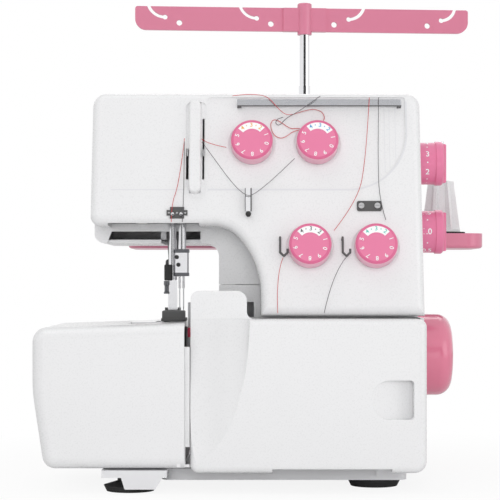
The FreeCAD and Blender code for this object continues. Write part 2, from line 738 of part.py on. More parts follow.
door = door_block(0.0, DOOR_BACK).cut(scoop(0.0))
door = door.cut(door_block(WALL, DOOR_BACK + WALL).cut(scoop(WALL)))
door = door.cut(
    box(
        NOTCH_LEFT, NOTCH_RIGHT, DOOR_FRONT - WALL, DOOR_FRONT + DOOR_LIP, DOOR_BOTTOM - WALL,
        DOOR_BOTTOM + NOTCH_HIGH,
    )
)
door = door.cut(
    box(
        DOOR_LEFT - WALL, DOOR_CAP_RIGHT + 4 * WALL, DOOR_FRONT + DOOR_CAP_DEPTH, DOOR_BACK + WALL,
        DOOR_TOP, DOOR_CAP_TOP + WALL,
    )
)
door = door.cut(
    box(
        DOOR_LEFT - WALL, DOOR_RIGHT + WALL, DOOR_FRONT + DOOR_LIP, DOOR_BACK + WALL,
        DOOR_BOTTOM - WALL, HINGE_Z - BRACKET_HALF,
    )
)
for left in (BRACKET_LEFT, BRACKET_RIGHT):
    door = door.cut(
        box(
            left - DOOR_TRAVEL - 1.0, left + BRACKET_WIDE + 1.0, DOOR_FRONT + WALL + 1.0, DOOR_BACK,
            DOOR_BOTTOM - WALL, HINGE_Z,
        )
    )

# Finger recess: a pocket that deepens towards the right, in a boss behind the face
grip_back = DOOR_FRONT + GRIP_DEPTH
grip_high = GRIP_TOP - GRIP_BOTTOM
grip_round = grip_high / 2 - 1
grip_boss = slab(
    [
        (GRIP_LEFT - WALL, GRIP_BOTTOM - WALL, grip_round),
        (GRIP_RIGHT + WALL, GRIP_BOTTOM - WALL, GRIP_CORNER + WALL),
        (GRIP_RIGHT + WALL, GRIP_TOP + WALL, GRIP_CORNER + WALL),
        (GRIP_LEFT - WALL, GRIP_TOP + WALL, grip_round),
    ],
    DOOR_FRONT + WALL / 2, grip_back + WALL,
)
grip_wide = GRIP_RIGHT - GRIP_LEFT
grip_slope = math.degrees(math.atan2(GRIP_DEPTH, grip_wide))
grip_tool = slab(
    [
        (GRIP_LEFT, GRIP_BOTTOM, grip_round), (GRIP_RIGHT, GRIP_BOTTOM, GRIP_CORNER),
        (GRIP_RIGHT, GRIP_TOP, GRIP_CORNER), (GRIP_LEFT, GRIP_TOP, grip_round),
    ],
    DOOR_FRONT - WALL, grip_back,
)
ramp = box(GRIP_LEFT - 2, GRIP_LEFT + 2 * grip_wide, 0, FAR, GRIP_BOTTOM - WALL, GRIP_TOP + WALL)
ramp.translate(V(-GRIP_LEFT, 0, 0))
ramp.rotate(V(0, 0, 0), Z_AXIS, grip_slope)
ramp.translate(V(GRIP_LEFT, DOOR_FRONT, 0))
grip_tool = grip_tool.cut(ramp)
door = fuse(door, grip_boss).cut(grip_tool)

# Hinge bosses of the looper cover and the rod they turn on
BOSS_WIDE = 8.0
BOSS_LEFT = -52.0
BOSS_RIGHT = 84.0
BOSS_HALF = 4.0
ROD_REACH = 1.0
for left in (BOSS_LEFT, BOSS_RIGHT):
    right = left + BOSS_WIDE
    web = box(left, right, DOOR_FRONT + WALL / 2, HINGE_Y, HINGE_Z - BOSS_HALF, HINGE_Z + BOSS_HALF)
    eye = rod(BOSS_HALF, V(left, HINGE_Y, HINGE_Z), V(right, HINGE_Y, HINGE_Z))
    bore = rod(HINGE_ROD_RADIUS + RUNNING, V(left - 1, HINGE_Y, HINGE_Z), V(right + 1, HINGE_Y, HINGE_Z))
    door = fuse(door, web, eye).cut(bore)
save("looper_cover", door)
save(
    "hinge_rod",
    rod(
        HINGE_ROD_RADIUS,
        V(BOSS_LEFT - ROD_REACH, HINGE_Y, HINGE_Z),
        V(BOSS_RIGHT + BOSS_WIDE + ROD_REACH, HINGE_Y, HINGE_Z),
    ),
)


# Main frame: one casting of post, arm, head block, bed rails and looper bracket
FRAME_FOOT = CASING_BOTTOM
KNIFE_RIGHT = -60.8
KNIFE_THICK = 2.2
LOOPER_BLOCK_LEFT = KNIFE_RIGHT + MOVE_GAP
LOOPER_BLOCK_RIGHT = COLUMN_LEFT - 1.0
LOOPER_BLOCK_FRONT = -70.0
LOOPER_BLOCK_BOTTOM = 42.0
LOWER_PIVOT_X = -50.0
LOWER_PIVOT_Z = 50.0
LOWER_PIVOT_RADIUS = 3.0
UPPER_ROD_RADIUS = 2.5
UPPER_LEAN = 30.0         # degrees the upper looper's path leans to the left
UPPER_BOSS_X = -33.0
UPPER_BOSS_Z = 84.0
UPPER_BOSS_HALF = 5.0
UPPER_PLANE_Y = -79.0     # front to back place of the upper looper
LOWER_PLANE_Y = -73.6
LOOPER_THICK = 1.6
LIFTER_Y = -48.0
LIFTER_Z = 182.0
LIFTER_PIN_RADIUS = 2.0
LIFTER_HUB_RADIUS = 5.0
LUG_THICK = 4.0
COLLAR_RADIUS = 6.0       # collar on the presser bar, and the spring above it
COLLAR_HIGH = 4.0
COLLAR_LOW = ARM_TOP + MOVE_GAP
SPRING_WIRE = 0.6         # radius
SPRING_RADIUS = 4.6
SPRING_TURNS = 6
SPRING_PITCH = 3.6
ARCH_THICK = 4.0
TAKE_UP_PIVOT_Y = -52.0
TAKE_UP_PIVOT_Z = 238.0
TAKE_UP_PIVOT_RADIUS = 2.5

arm = box(HEAD_BLOCK_LEFT, POST_RIGHT, -ARM_HALF_DEPTH, ARM_HALF_DEPTH, ARM_BOTTOM, ARM_TOP)
post = box(POST_LEFT, POST_RIGHT, -POST_HALF_DEPTH, POST_HALF_DEPTH, FRAME_FOOT, ARM_TOP)
head_block = box(
    HEAD_BLOCK_LEFT, HEAD_BLOCK_RIGHT, HEAD_BLOCK_FRONT, -ARM_HALF_DEPTH, ARM_BOTTOM, ARM_TOP,
)
bed_rail = box(BED_LEFT, POST_LEFT, BED_RAIL_FRONT, BED_RAIL_BACK, BED_RAIL_BOTTOM, BED_TOP)
left_rail = box(
    BED_LEFT, BED_LEFT + BED_LEFT_RAIL, PLATE_FRONT, BED_RAIL_FRONT, BED_TOP - 4 * WALL, BED_TOP,
)
looper_block = box(
    LOOPER_BLOCK_LEFT, LOOPER_BLOCK_RIGHT, LOOPER_BLOCK_FRONT, BED_RAIL_FRONT + WALL,
    LOOPER_BLOCK_BOTTOM, BED_RAIL_BOTTOM + 2 * WALL,
)
bridge = box(
    LOOPER_BLOCK_RIGHT - 1, UPPER_BOSS_X + UPPER_BOSS_HALF, LOOPER_BLOCK_FRONT, PART_Y - MOVE_GAP,
    UPPER_BOSS_Z - UPPER_BOSS_HALF, UPPER_BOSS_Z + UPPER_BOSS_HALF,
)
upper_boss = box(
    UPPER_BOSS_X - UPPER_BOSS_HALF, UPPER_BOSS_X + UPPER_BOSS_HALF, UPPER_PLANE_Y - UPPER_BOSS_HALF,
    LOOPER_BLOCK_FRONT, UPPER_BOSS_Z - UPPER_BOSS_HALF, UPPER_BOSS_Z + UPPER_BOSS_HALF,
)
upper_axis = V(-math.sin(math.radians(UPPER_LEAN)), 0, math.cos(math.radians(UPPER_LEAN)))
upper_centre = V(UPPER_BOSS_X, UPPER_PLANE_Y, UPPER_BOSS_Z)
lugs = []
lug_reach = LIFTER_WIDE / 2 + MOVE_GAP
for start in (LIFTER_X - lug_reach - LUG_THICK, LIFTER_X + lug_reach):
    lugs.append(
        box(
            start, start + LUG_THICK, LIFTER_Y - LIFTER_HUB_RADIUS, LIFTER_Y + LIFTER_HUB_RADIUS,
            LIFTER_Z - LIFTER_HUB_RADIUS, ARM_BOTTOM,
        )
    )
take_up_lug_left = TAKE_UP_BAR_RIGHT + 6.0
take_up_lug = box(
    take_up_lug_left, take_up_lug_left + 2 * LUG_THICK, TAKE_UP_PIVOT_Y - 6.0, -ARM_HALF_DEPTH,
    ARM_BOTTOM, TAKE_UP_PIVOT_Z + 6.0,
)
arch_low = COLLAR_LOW + COLLAR_HIGH + SPRING_TURNS * SPRING_PITCH + 3 * SPRING_WIRE
arch_back = PRESSER_BAR_Y + COLLAR_RADIUS + 2.0
arch_roof = box(
    HEAD_BLOCK_LEFT, PRESSER_BAR_X + 4.8, PRESSER_BAR_Y - COLLAR_RADIUS, arch_back + ARCH_THICK,
    arch_low, arch_low + ARCH_THICK,
)
arch_leg = box(
    HEAD_BLOCK_LEFT, PRESSER_BAR_X + 4.8, arch_back, arch_back + ARCH_THICK, ARM_TOP - 1, arch_low + 1,
)
frame = fuse(
    arm, post, head_block, arch_roof, arch_leg, bed_rail, left_rail, looper_block, bridge, upper_boss,
    take_up_lug, *lugs,
)
frame_bores = [
    rod(
        NEEDLE_BAR_RADIUS + RUNNING, V(NEEDLE_BAR_X, NEEDLE_BAR_Y, ARM_BOTTOM - 1),
        V(NEEDLE_BAR_X, NEEDLE_BAR_Y, ARM_TOP + 1),
    ),
    rod(
        PRESSER_BAR_RADIUS + RUNNING, V(PRESSER_BAR_X, PRESSER_BAR_Y, ARM_BOTTOM - 1),
        V(PRESSER_BAR_X, PRESSER_BAR_Y, arch_low + 2 * ARCH_THICK),
    ),
    rod(
        LOWER_PIVOT_RADIUS + RUNNING, V(LOWER_PIVOT_X, LOOPER_BLOCK_FRONT - 1, LOWER_PIVOT_Z),
        V(LOWER_PIVOT_X, BED_RAIL_FRONT + 2 * WALL, LOWER_PIVOT_Z),
    ),
    rod(UPPER_ROD_RADIUS + RUNNING, upper_centre - upper_axis * 14, upper_centre + upper_axis * 14),
    rod(
        LIFTER_PIN_RADIUS + RUNNING, V(LIFTER_X - lug_reach - 2 * LUG_THICK, LIFTER_Y, LIFTER_Z),
        V(LIFTER_X + lug_reach + 2 * LUG_THICK, LIFTER_Y, LIFTER_Z),
    ),
    rod(
        TAKE_UP_PIVOT_RADIUS + RUNNING, V(take_up_lug_left - 1, TAKE_UP_PIVOT_Y, TAKE_UP_PIVOT_Z),
        V(take_up_lug_left + 3 * LUG_THICK, TAKE_UP_PIVOT_Y, TAKE_UP_PIVOT_Z),
    ),
]
BUSH_WALL = 2.0
BUSH_LONG = 12.0
bush_spots = (POST_LEFT, POST_RIGHT - BUSH_LONG)
frame_bores.append(
    rod(
        SHAFT_RADIUS + BUSH_WALL + SEAT, V(POST_LEFT - 1, SHAFT_Y, SHAFT_Z),
        V(POST_RIGHT + 1, SHAFT_Y, SHAFT_Z),
    )
)
for bore in frame_bores:
    frame = frame.cut(bore)
save("main_frame", frame)

# Needle plate with slots for the needles and feed dogs
DOG_WIDE = 3.0
DOG_XS = (-86.0, -80.0)
DOG_FRONT = -88.0
DOG_BACK = -60.0
DOG_TRAVEL = 4.0
NEEDLE_SLOT_LEFT = -72.5
NEEDLE_SLOT_RIGHT = -65.6
NEEDLE_SLOT_HALF = 3.2
LOWER_KNIFE_FRONT = -98.0
LOWER_KNIFE_BACK = -87.0
LOWER_KNIFE_THICK = 2.2

plate = box(BED_LEFT, PLATE_RIGHT, PLATE_FRONT, PLATE_BACK, BED_TOP + SEAT, PLATE_TOP)
plate = round_uprights(plate, PLATE_CORNER)
for dog_x in DOG_XS:
    plate = plate.cut(
        box(
            dog_x - MOVE_GAP, dog_x + DOG_WIDE + MOVE_GAP, DOG_FRONT - DOG_TRAVEL - 2 * MOVE_GAP,
            DOG_BACK + 2 * MOVE_GAP, BED_TOP - WALL, PLATE_TOP + WALL,
        )
    )
plate = plate.cut(
    box(
        NEEDLE_SLOT_LEFT, NEEDLE_SLOT_RIGHT, NEEDLE_BAR_Y - NEEDLE_SLOT_HALF, NEEDLE_BAR_Y + NEEDLE_SLOT_HALF,
        BED_TOP - WALL, PLATE_TOP + WALL,
    )
)
plate = plate.cut(
    box(
        PLATE_RIGHT - LOWER_KNIFE_THICK - SEAT, PLATE_RIGHT + WALL, PLATE_FRONT - WALL,
        LOWER_KNIFE_BACK + SEAT,
        BED_TOP - WALL, PLATE_TOP + WALL,
    )
)
save("needle_plate", plate)

# Fixed lower knife with its holder under the plate, and the moving knife that passes it
lower_blade = box(
    PLATE_RIGHT - LOWER_KNIFE_THICK, PLATE_RIGHT, LOWER_KNIFE_FRONT, LOWER_KNIFE_BACK,
    BED_TOP - 6 * WALL, PLATE_TOP,
)
knife_holder = box(
    BED_LEFT + BED_LEFT_RAIL + SEAT, PLATE_RIGHT - LOWER_KNIFE_THICK, PLATE_FRONT + 1.0, PLATE_FRONT + 6.0,
    BED_TOP - 4 * WALL, BED_TOP,
)
knife_stem = box(
    PLATE_RIGHT - 3 * LOWER_KNIFE_THICK, PLATE_RIGHT - LOWER_KNIFE_THICK, PLATE_FRONT + 1.0, LOWER_KNIFE_BACK,
    BED_TOP - 4 * WALL, BED_TOP,
)
save("lower_knife", fuse(lower_blade, knife_holder, knife_stem))

KNIFE_TOP = 131.0
KNIFE_BOTTOM = 58.0
KNIFE_FRONT = -97.0
KNIFE_BACK = -87.0
KNIFE_ARM_HIGH = 8.0
CLAMP_BOTTOM = 106.5
CLAMP_TOP = 113.0
CLAMP_PROUD = 3.0
knife_left = KNIFE_RIGHT - KNIFE_THICK
knife = box(knife_left, KNIFE_RIGHT, KNIFE_FRONT, KNIFE_BACK, KNIFE_BOTTOM, KNIFE_TOP)
knife_arm = box(
    knife_left, KNIFE_RIGHT, KNIFE_BACK, BED_RAIL_FRONT - WALL, KNIFE_BOTTOM, KNIFE_BOTTOM + KNIFE_ARM_HIGH,
)
knife_clamp = box(
    knife_left, KNIFE_RIGHT, KNIFE_FRONT - CLAMP_PROUD - SEAT, KNIFE_FRONT - SEAT, CLAMP_BOTTOM, CLAMP_TOP,
)
save("moving_knife", fuse(knife, knife_arm), knife_clamp)

# Feed dogs: two toothed bars on one carrier
TOOTH_PITCH = 1.6
TOOTH_DEEP = 0.9
DOG_FOOT = 92.0
CARRIER_BACK = -48.0


def dog_bar(x):
    """Bar with saw teeth along its top."""
    top = PLATE_TOP - 0.1
    count = int((DOG_BACK - DOG_FRONT) / TOOTH_PITCH)
    points = [V(x, DOG_FRONT, top - 3 * WALL), V(x, DOG_FRONT, top - TOOTH_DEEP)]
    for i in range(count):
        y = DOG_FRONT + i * TOOTH_PITCH
        points.append(V(x, y + TOOTH_PITCH * 0.8, top))
        points.append(V(x, y + TOOTH_PITCH, top - TOOTH_DEEP))
    points.append(V(x, DOG_BACK, top - TOOTH_DEEP))
    points.append(V(x, DOG_BACK, top - 3 * WALL))
    unique = [points[0]]
    for point in points[1:]:
        if (point - unique[-1]).Length > 1e-3:
            unique.append(point)
    face = Part.Face(Part.makePolygon(unique + [unique[0]]))
    return face.extrude(V(DOG_WIDE, 0, 0))


dog_parts = [dog_bar(x) for x in DOG_XS]
for dog_x in DOG_XS:
    dog_parts.append(
        box(dog_x, dog_x + DOG_WIDE, DOG_BACK - 5.0, DOG_BACK, DOG_FOOT, PLATE_TOP - TOOTH_DEEP - 1)
    )
dog_parts.append(
    box(DOG_XS[0], DOG_XS[1] + DOG_WIDE, DOG_BACK - 5.0, CARRIER_BACK, DOG_FOOT, DOG_FOOT + 2 * WALL)
)
save("feed_dogs", fuse(*dog_parts))

# Lower looper on its rocking shaft
LOWER_ARM_TOP = 98.0
LOWER_TIP_X = -74.0
LOWER_BLADE_HIGH = 3.2
LOWER_ARM_HALF = 3.5
arm_front = LOWER_PLANE_Y - LOOPER_THICK / 2
arm_back = LOWER_PLANE_Y + LOOPER_THICK / 2
shaft_end = BED_RAIL_FRONT + WALL
lower_arm = box(
    LOWER_PIVOT_X - LOWER_ARM_HALF, LOWER_PIVOT_X + LOWER_ARM_HALF, arm_front, arm_back,
    LOWER_PIVOT_Z, LOWER_ARM_TOP + LOWER_BLADE_HIGH,
)
lower_blade_points = [
    (LOWER_PIVOT_X, LOWER_ARM_TOP, 0), (LOWER_PIVOT_X, LOWER_ARM_TOP + LOWER_BLADE_HIGH, 0),
    (LOWER_TIP_X + 6, LOWER_ARM_TOP + LOWER_BLADE_HIGH, 3.0), (LOWER_TIP_X, LOWER_ARM_TOP + 1.6, 0.3),
    (LOWER_TIP_X + 6, LOWER_ARM_TOP, 3.0),
]
lower_hub = rod(
    LOWER_PIVOT_RADIUS + 2.5, V(LOWER_PIVOT_X, arm_front, LOWER_PIVOT_Z),
    V(LOWER_PIVOT_X, LOOPER_BLOCK_FRONT - MOVE_GAP, LOWER_PIVOT_Z),
)
lower_shaft = rod(
    LOWER_PIVOT_RADIUS, V(LOWER_PIVOT_X, arm_back, LOWER_PIVOT_Z), V(LOWER_PIVOT_X, shaft_end, LOWER_PIVOT_Z),
)
save("lower_looper", fuse(lower_arm, slab(lower_blade_points, arm_front, arm_back), lower_hub, lower_shaft))

# Upper looper: a rod that slides up to the left with a curved tip on its end
UPPER_LOW = -18.0
UPPER_HIGH = 20.0
UPPER_TIP = 9.0
rod_part = rod(
    UPPER_ROD_RADIUS, upper_centre + upper_axis * UPPER_LOW, upper_centre + upper_axis * UPPER_HIGH,
)
tip_part = Part.makeCone(
    UPPER_ROD_RADIUS, 0.5, UPPER_TIP, upper_centre + upper_axis * UPPER_HIGH, upper_axis,
)
save("upper_looper", fuse(rod_part, tip_part))


# Needle bar, clamp and needles
NEEDLE_BAR_TOP = 216.0
CLAMP_LOW = 150.0
CLAMP_HIGH = 169.0
CLAMP_HALF = 4.8
CLAMP_SOLE = 2.0          # clamp left below the end of the bar
NEEDLE_RADIUS = 0.45
NEEDLE_TIP_Z = 123.7
NEEDLE_POINT = 4.0
NEEDLE_PITCH = 2.8
NEEDLE_SHANK_RADIUS = 0.9
NEEDLE_SHANK = 9.0
CLAMP_SCREW_RADIUS = 1.5
CLAMP_SCREW_LONG = 3.0
CLAMP_SCREWS = ((-71.6, 163.5), (-70.4, 158.0))
needle_axis = V(NEEDLE_BAR_X, NEEDLE_BAR_Y, 0)
bar_end = CLAMP_LOW + CLAMP_SOLE + SEAT
save(
    "needle_bar",
    rod(NEEDLE_BAR_RADIUS, needle_axis + V(0, 0, bar_end), needle_axis + V(0, 0, NEEDLE_BAR_TOP)),
)
clamp = box(
    NEEDLE_BAR_X - CLAMP_HALF, NEEDLE_BAR_X + CLAMP_HALF, NEEDLE_BAR_Y - CLAMP_HALF,
    NEEDLE_BAR_Y + CLAMP_HALF,
    CLAMP_LOW, CLAMP_HIGH,
)
clamp = clamp.makeChamfer(1.0, upright_edges(clamp))
clamp = clamp.cut(
    rod(
        NEEDLE_BAR_RADIUS + SEAT, needle_axis + V(0, 0, CLAMP_LOW + CLAMP_SOLE),
        needle_axis + V(0, 0, CLAMP_HIGH + 1),
    )
)
clamp_front = NEEDLE_BAR_Y - CLAMP_HALF - SEAT
clamp_screws = []
for screw_x, screw_z in CLAMP_SCREWS:
    clamp_screws.append(
        rod(
            CLAMP_SCREW_RADIUS, V(screw_x, clamp_front, screw_z),
            V(screw_x, clamp_front - CLAMP_SCREW_LONG, screw_z),
        )
    )
save("needle_clamp", clamp, *clamp_screws)
needles = []
for side_sign in (-1, 1):
    centre = needle_axis + V(side_sign * NEEDLE_PITCH / 2 - NEEDLE_RADIUS, 0, 0)
    shank = rod(
        NEEDLE_SHANK_RADIUS, centre + V(0, 0, CLAMP_LOW - NEEDLE_SHANK),
        centre + V(0, 0, CLAMP_LOW - SEAT),
    )
    blade = rod(
        NEEDLE_RADIUS, centre + V(0, 0, NEEDLE_TIP_Z + NEEDLE_POINT),
        centre + V(0, 0, CLAMP_LOW - NEEDLE_SHANK),
    )
    point = Part.makeCone(0.08, NEEDLE_RADIUS, NEEDLE_POINT, centre + V(0, 0, NEEDLE_TIP_Z), Z_AXIS)
    needles.append(fuse(shank, blade, point))
save("needles", *needles)

# Presser bar with its shank, collar spring, foot and lifter
PRESSER_TOP = 244.0
SHANK_TOP = 147.0
SHANK_BOTTOM = 121.8
SHANK_HALF = 3.3
SHANK_THICK_HALF = 3.0
FOOT_PIVOT_Z = 124.6
FOOT_PIN_RADIUS = 1.2
presser_axis = V(PRESSER_BAR_X, PRESSER_BAR_Y, 0)
shank_block = box(
    PRESSER_BAR_X - SHANK_HALF, PRESSER_BAR_X + SHANK_HALF, PRESSER_BAR_Y - SHANK_THICK_HALF,
    PRESSER_BAR_Y + SHANK_THICK_HALF, SHANK_BOTTOM, SHANK_TOP,
)
presser_rod = rod(
    PRESSER_BAR_RADIUS, presser_axis + V(0, 0, SHANK_TOP - 2), presser_axis + V(0, 0, PRESSER_TOP),
)
bore_reach = 2 * SHANK_HALF
foot_bore = rod(
    FOOT_PIN_RADIUS + RUNNING, V(PRESSER_BAR_X - bore_reach, PRESSER_BAR_Y, FOOT_PIVOT_Z),
    V(PRESSER_BAR_X + bore_reach, PRESSER_BAR_Y, FOOT_PIVOT_Z),
)
presser_collar = ring(
    COLLAR_RADIUS, PRESSER_BAR_RADIUS + SEAT, presser_axis + V(0, 0, COLLAR_LOW),
    presser_axis + V(0, 0, COLLAR_LOW + COLLAR_HIGH),
)
save("presser_bar", fuse(shank_block, presser_rod).cut(foot_bore), presser_collar)

SPRING_START = COLLAR_LOW + COLLAR_HIGH + SPRING_WIRE + 2 * SEAT


def helix_point(turn):
    """Point on the presser spring's centre line after a number of turns."""
    angle = 2 * math.pi * turn
    flat = V(math.cos(angle), math.sin(angle), 0) * SPRING_RADIUS
    return presser_axis + flat + V(0, 0, SPRING_START + SPRING_PITCH * turn)


spring_edges = []
for quarter in range(4 * SPRING_TURNS):
    start = quarter / 4
    arc = Part.Arc(helix_point(start), helix_point(start + 0.125), helix_point(start + 0.25))
    spring_edges.append(arc.toShape())
spring_path = Part.Wire(spring_edges)
spring_start_edge = spring_path.OrderedEdges[0]
spring_tangent = spring_start_edge.tangentAt(spring_start_edge.FirstParameter)
spring_profile = Part.Wire(Part.makeCircle(SPRING_WIRE, helix_point(0), spring_tangent))
spring = spring_path.makePipeShell([spring_profile], True, True)
spring_gap = SPRING_PITCH - 2 * SPRING_WIRE
print(f"presser spring: least gap between turns {spring_gap:.2f} mm")
save("presser_spring", spring)

SOLE_LEFT = -82.0
SOLE_RIGHT = -64.6
SOLE_FRONT = -99.0
SOLE_BACK = -61.0
SOLE_BOTTOM = PLATE_TOP + MOVE_GAP
SOLE_THICK = 2.2
EAR_THICK = 2.0
FOOT_ROCK = 10.0
TOE_TOP = 125.2           # dark body of the foot, in front of the needles
TOE_INSET = 0.6
TOE_SETBACK = 2.0
TOE_ROUND = 1.0
ear_gap = SHANK_HALF + MOVE_GAP
sole = box(SOLE_LEFT, SOLE_RIGHT, SOLE_FRONT, SOLE_BACK, SOLE_BOTTOM, SOLE_BOTTOM + SOLE_THICK)
toe_edges = edges_where(sole, lambda p: abs(p.y - SOLE_FRONT) < 1e-4 and abs(p.z - SOLE_BOTTOM) < 1e-4)
sole = sole.makeFillet(SOLE_THICK * 0.8, toe_edges)
heel_cut = box(SOLE_LEFT - 1, SOLE_RIGHT + 1, 0, FAR, -FAR, 0)
heel_cut.rotate(V(0, 0, 0), X_AXIS, FOOT_ROCK + 3)
heel_cut.translate(V(0, PRESSER_BAR_Y - 1.5, SOLE_BOTTOM))
sole = sole.cut(heel_cut)
ears = []
for start in (PRESSER_BAR_X - ear_gap - EAR_THICK, PRESSER_BAR_X + ear_gap):
    ears.append(
        box(
            start, start + EAR_THICK, PRESSER_BAR_Y - 3.0, PRESSER_BAR_Y + 3.0, SOLE_BOTTOM + SOLE_THICK / 2,
            FOOT_PIVOT_Z + 2.4,
        )
    )
foot_pin = rod(
    FOOT_PIN_RADIUS, V(PRESSER_BAR_X - ear_gap - EAR_THICK, PRESSER_BAR_Y, FOOT_PIVOT_Z),
    V(PRESSER_BAR_X + ear_gap + EAR_THICK, PRESSER_BAR_Y, FOOT_PIVOT_Z),
)
toe_back = NEEDLE_BAR_Y - CLAMP_HALF - 2 * MOVE_GAP
toe = box(
    SOLE_LEFT + TOE_INSET, SOLE_RIGHT - TOE_INSET, SOLE_FRONT + TOE_SETBACK, toe_back,
    SOLE_BOTTOM + SOLE_THICK / 2, TOE_TOP,
)
toe = toe.makeFillet(TOE_ROUND, edges_where(toe, lambda p: abs(p.z - TOE_TOP) < 1e-4))
foot = fuse(sole, foot_pin, toe, *ears)
foot = foot.cut(
    box(
        NEEDLE_SLOT_LEFT - 0.5, SOLE_RIGHT + 1, NEEDLE_BAR_Y - NEEDLE_SLOT_HALF,
        NEEDLE_BAR_Y + NEEDLE_SLOT_HALF,
        SOLE_BOTTOM - 1, SOLE_BOTTOM + SOLE_THICK + 1,
    )
)
save("presser_foot", foot)

LIFTER_REACH = 44.0
LIFTER_DROP = 42.0        # degrees the lifter hangs below level with the foot down
LIFTER_THICK = 4.0
LIFTER_PAD = 13.0
half_wide = LIFTER_WIDE / 2
lifter_pin = rod(
    LIFTER_PIN_RADIUS, V(LIFTER_X - lug_reach - LUG_THICK, LIFTER_Y, LIFTER_Z),
    V(LIFTER_X + lug_reach + LUG_THICK, LIFTER_Y, LIFTER_Z),
)
lifter_hub = rod(
    LIFTER_HUB_RADIUS - 0.6, V(LIFTER_X - half_wide, LIFTER_Y, LIFTER_Z),
    V(LIFTER_X + half_wide, LIFTER_Y, LIFTER_Z),
)
lifter_arm = box(
    LIFTER_X - half_wide, LIFTER_X + half_wide, 0, LIFTER_REACH, -LIFTER_THICK / 2, LIFTER_THICK / 2,
)
lifter_pad = box(
    LIFTER_X - LIFTER_PAD / 2, LIFTER_X + LIFTER_PAD / 2, LIFTER_REACH - LIFTER_PAD, LIFTER_REACH + 2,
    -LIFTER_THICK / 2, LIFTER_THICK / 2,
)
lifter_pad = round_uprights(lifter_pad, 3.0)
lifter_arm = fuse(lifter_arm, lifter_pad)
lifter_arm.rotate(V(0, 0, 0), X_AXIS, -LIFTER_DROP)
lifter_arm.translate(V(0, LIFTER_Y, LIFTER_Z))
save("presser_lever", fuse(lifter_arm, lifter_hub, lifter_pin))

# Take-up cover bar in the panel slot, and the take-up lever behind it
bar_low = TAKE_UP_BOTTOM / math.cos(LEAN)
bar_high = TAKE_UP_TOP / math.cos(LEAN)
cover_wide = TAKE_UP_BAR_RIGHT - TAKE_UP_BAR_LEFT
cover_corner = cover_wide / 2 - 0.3
cover = slab(
    [
        (TAKE_UP_BAR_LEFT, bar_low + TAKE_UP_BAR_END, cover_corner),
        (TAKE_UP_BAR_RIGHT, bar_low + TAKE_UP_BAR_END, cover_corner),
        (TAKE_UP_BAR_RIGHT, bar_high - SEAT, cover_corner), (TAKE_UP_BAR_LEFT, bar_high - SEAT, cover_corner),
    ],
    -TAKE_UP_BAR_PROUD, WALL,
)
cover = cover.makeFillet(1.5, edges_where(cover, lambda p: abs(p.y + TAKE_UP_BAR_PROUD) < 1e-4))
tie = 3.0
for height in (bar_low + TAKE_UP_BAR_END, bar_high - tie - cover_corner):
    strap = box(
        TAKE_UP_LEFT - 2 * tie, TAKE_UP_RIGHT + 2 * tie, WALL + SEAT, WALL + SEAT + 1.6,
        height, height + cover_corner,
    )
    stub = box(
        TAKE_UP_BAR_LEFT + 0.5, TAKE_UP_BAR_RIGHT - 0.5, WALL - 1, WALL + SEAT + 0.2, height + 0.5,
        height + cover_corner - 0.3,
    )
    cover = fuse(cover, strap, stub)
cover.rotate(V(0, 0, 0), X_AXIS, -PANEL_LEAN)
cover.translate(on_panel(0, 0))
save("take_up_cover", cover)

TAKE_UP_ARM = 1.0
TAKE_UP_TIP_PROUD = 4.0
TAKE_UP_HIGH = 2.4
lever_xs = (
    (TAKE_UP_LEFT + TAKE_UP_BAR_LEFT) / 2, (TAKE_UP_RIGHT + TAKE_UP_BAR_RIGHT) / 2,
)
tip_y = panel_y(TAKE_UP_PIVOT_Z, TAKE_UP_TIP_PROUD)
lever = rod(
    TAKE_UP_PIVOT_RADIUS, V(lever_xs[0] - TAKE_UP_ARM / 2, TAKE_UP_PIVOT_Y, TAKE_UP_PIVOT_Z),
    V(take_up_lug_left + 2 * LUG_THICK + 2, TAKE_UP_PIVOT_Y, TAKE_UP_PIVOT_Z),
)
for lever_x in lever_xs:
    finger = box(
        lever_x - TAKE_UP_ARM / 2, lever_x + TAKE_UP_ARM / 2, tip_y, TAKE_UP_PIVOT_Y,
        TAKE_UP_PIVOT_Z - TAKE_UP_HIGH, TAKE_UP_PIVOT_Z + TAKE_UP_HIGH,
    )
    eye = rod(
        0.8, V(lever_x - 2, tip_y + 2.0, TAKE_UP_PIVOT_Z), V(lever_x + 2, tip_y + 2.0, TAKE_UP_PIVOT_Z),
    )
    lever = fuse(lever, finger.cut(eye))
save("take_up_lever", lever)


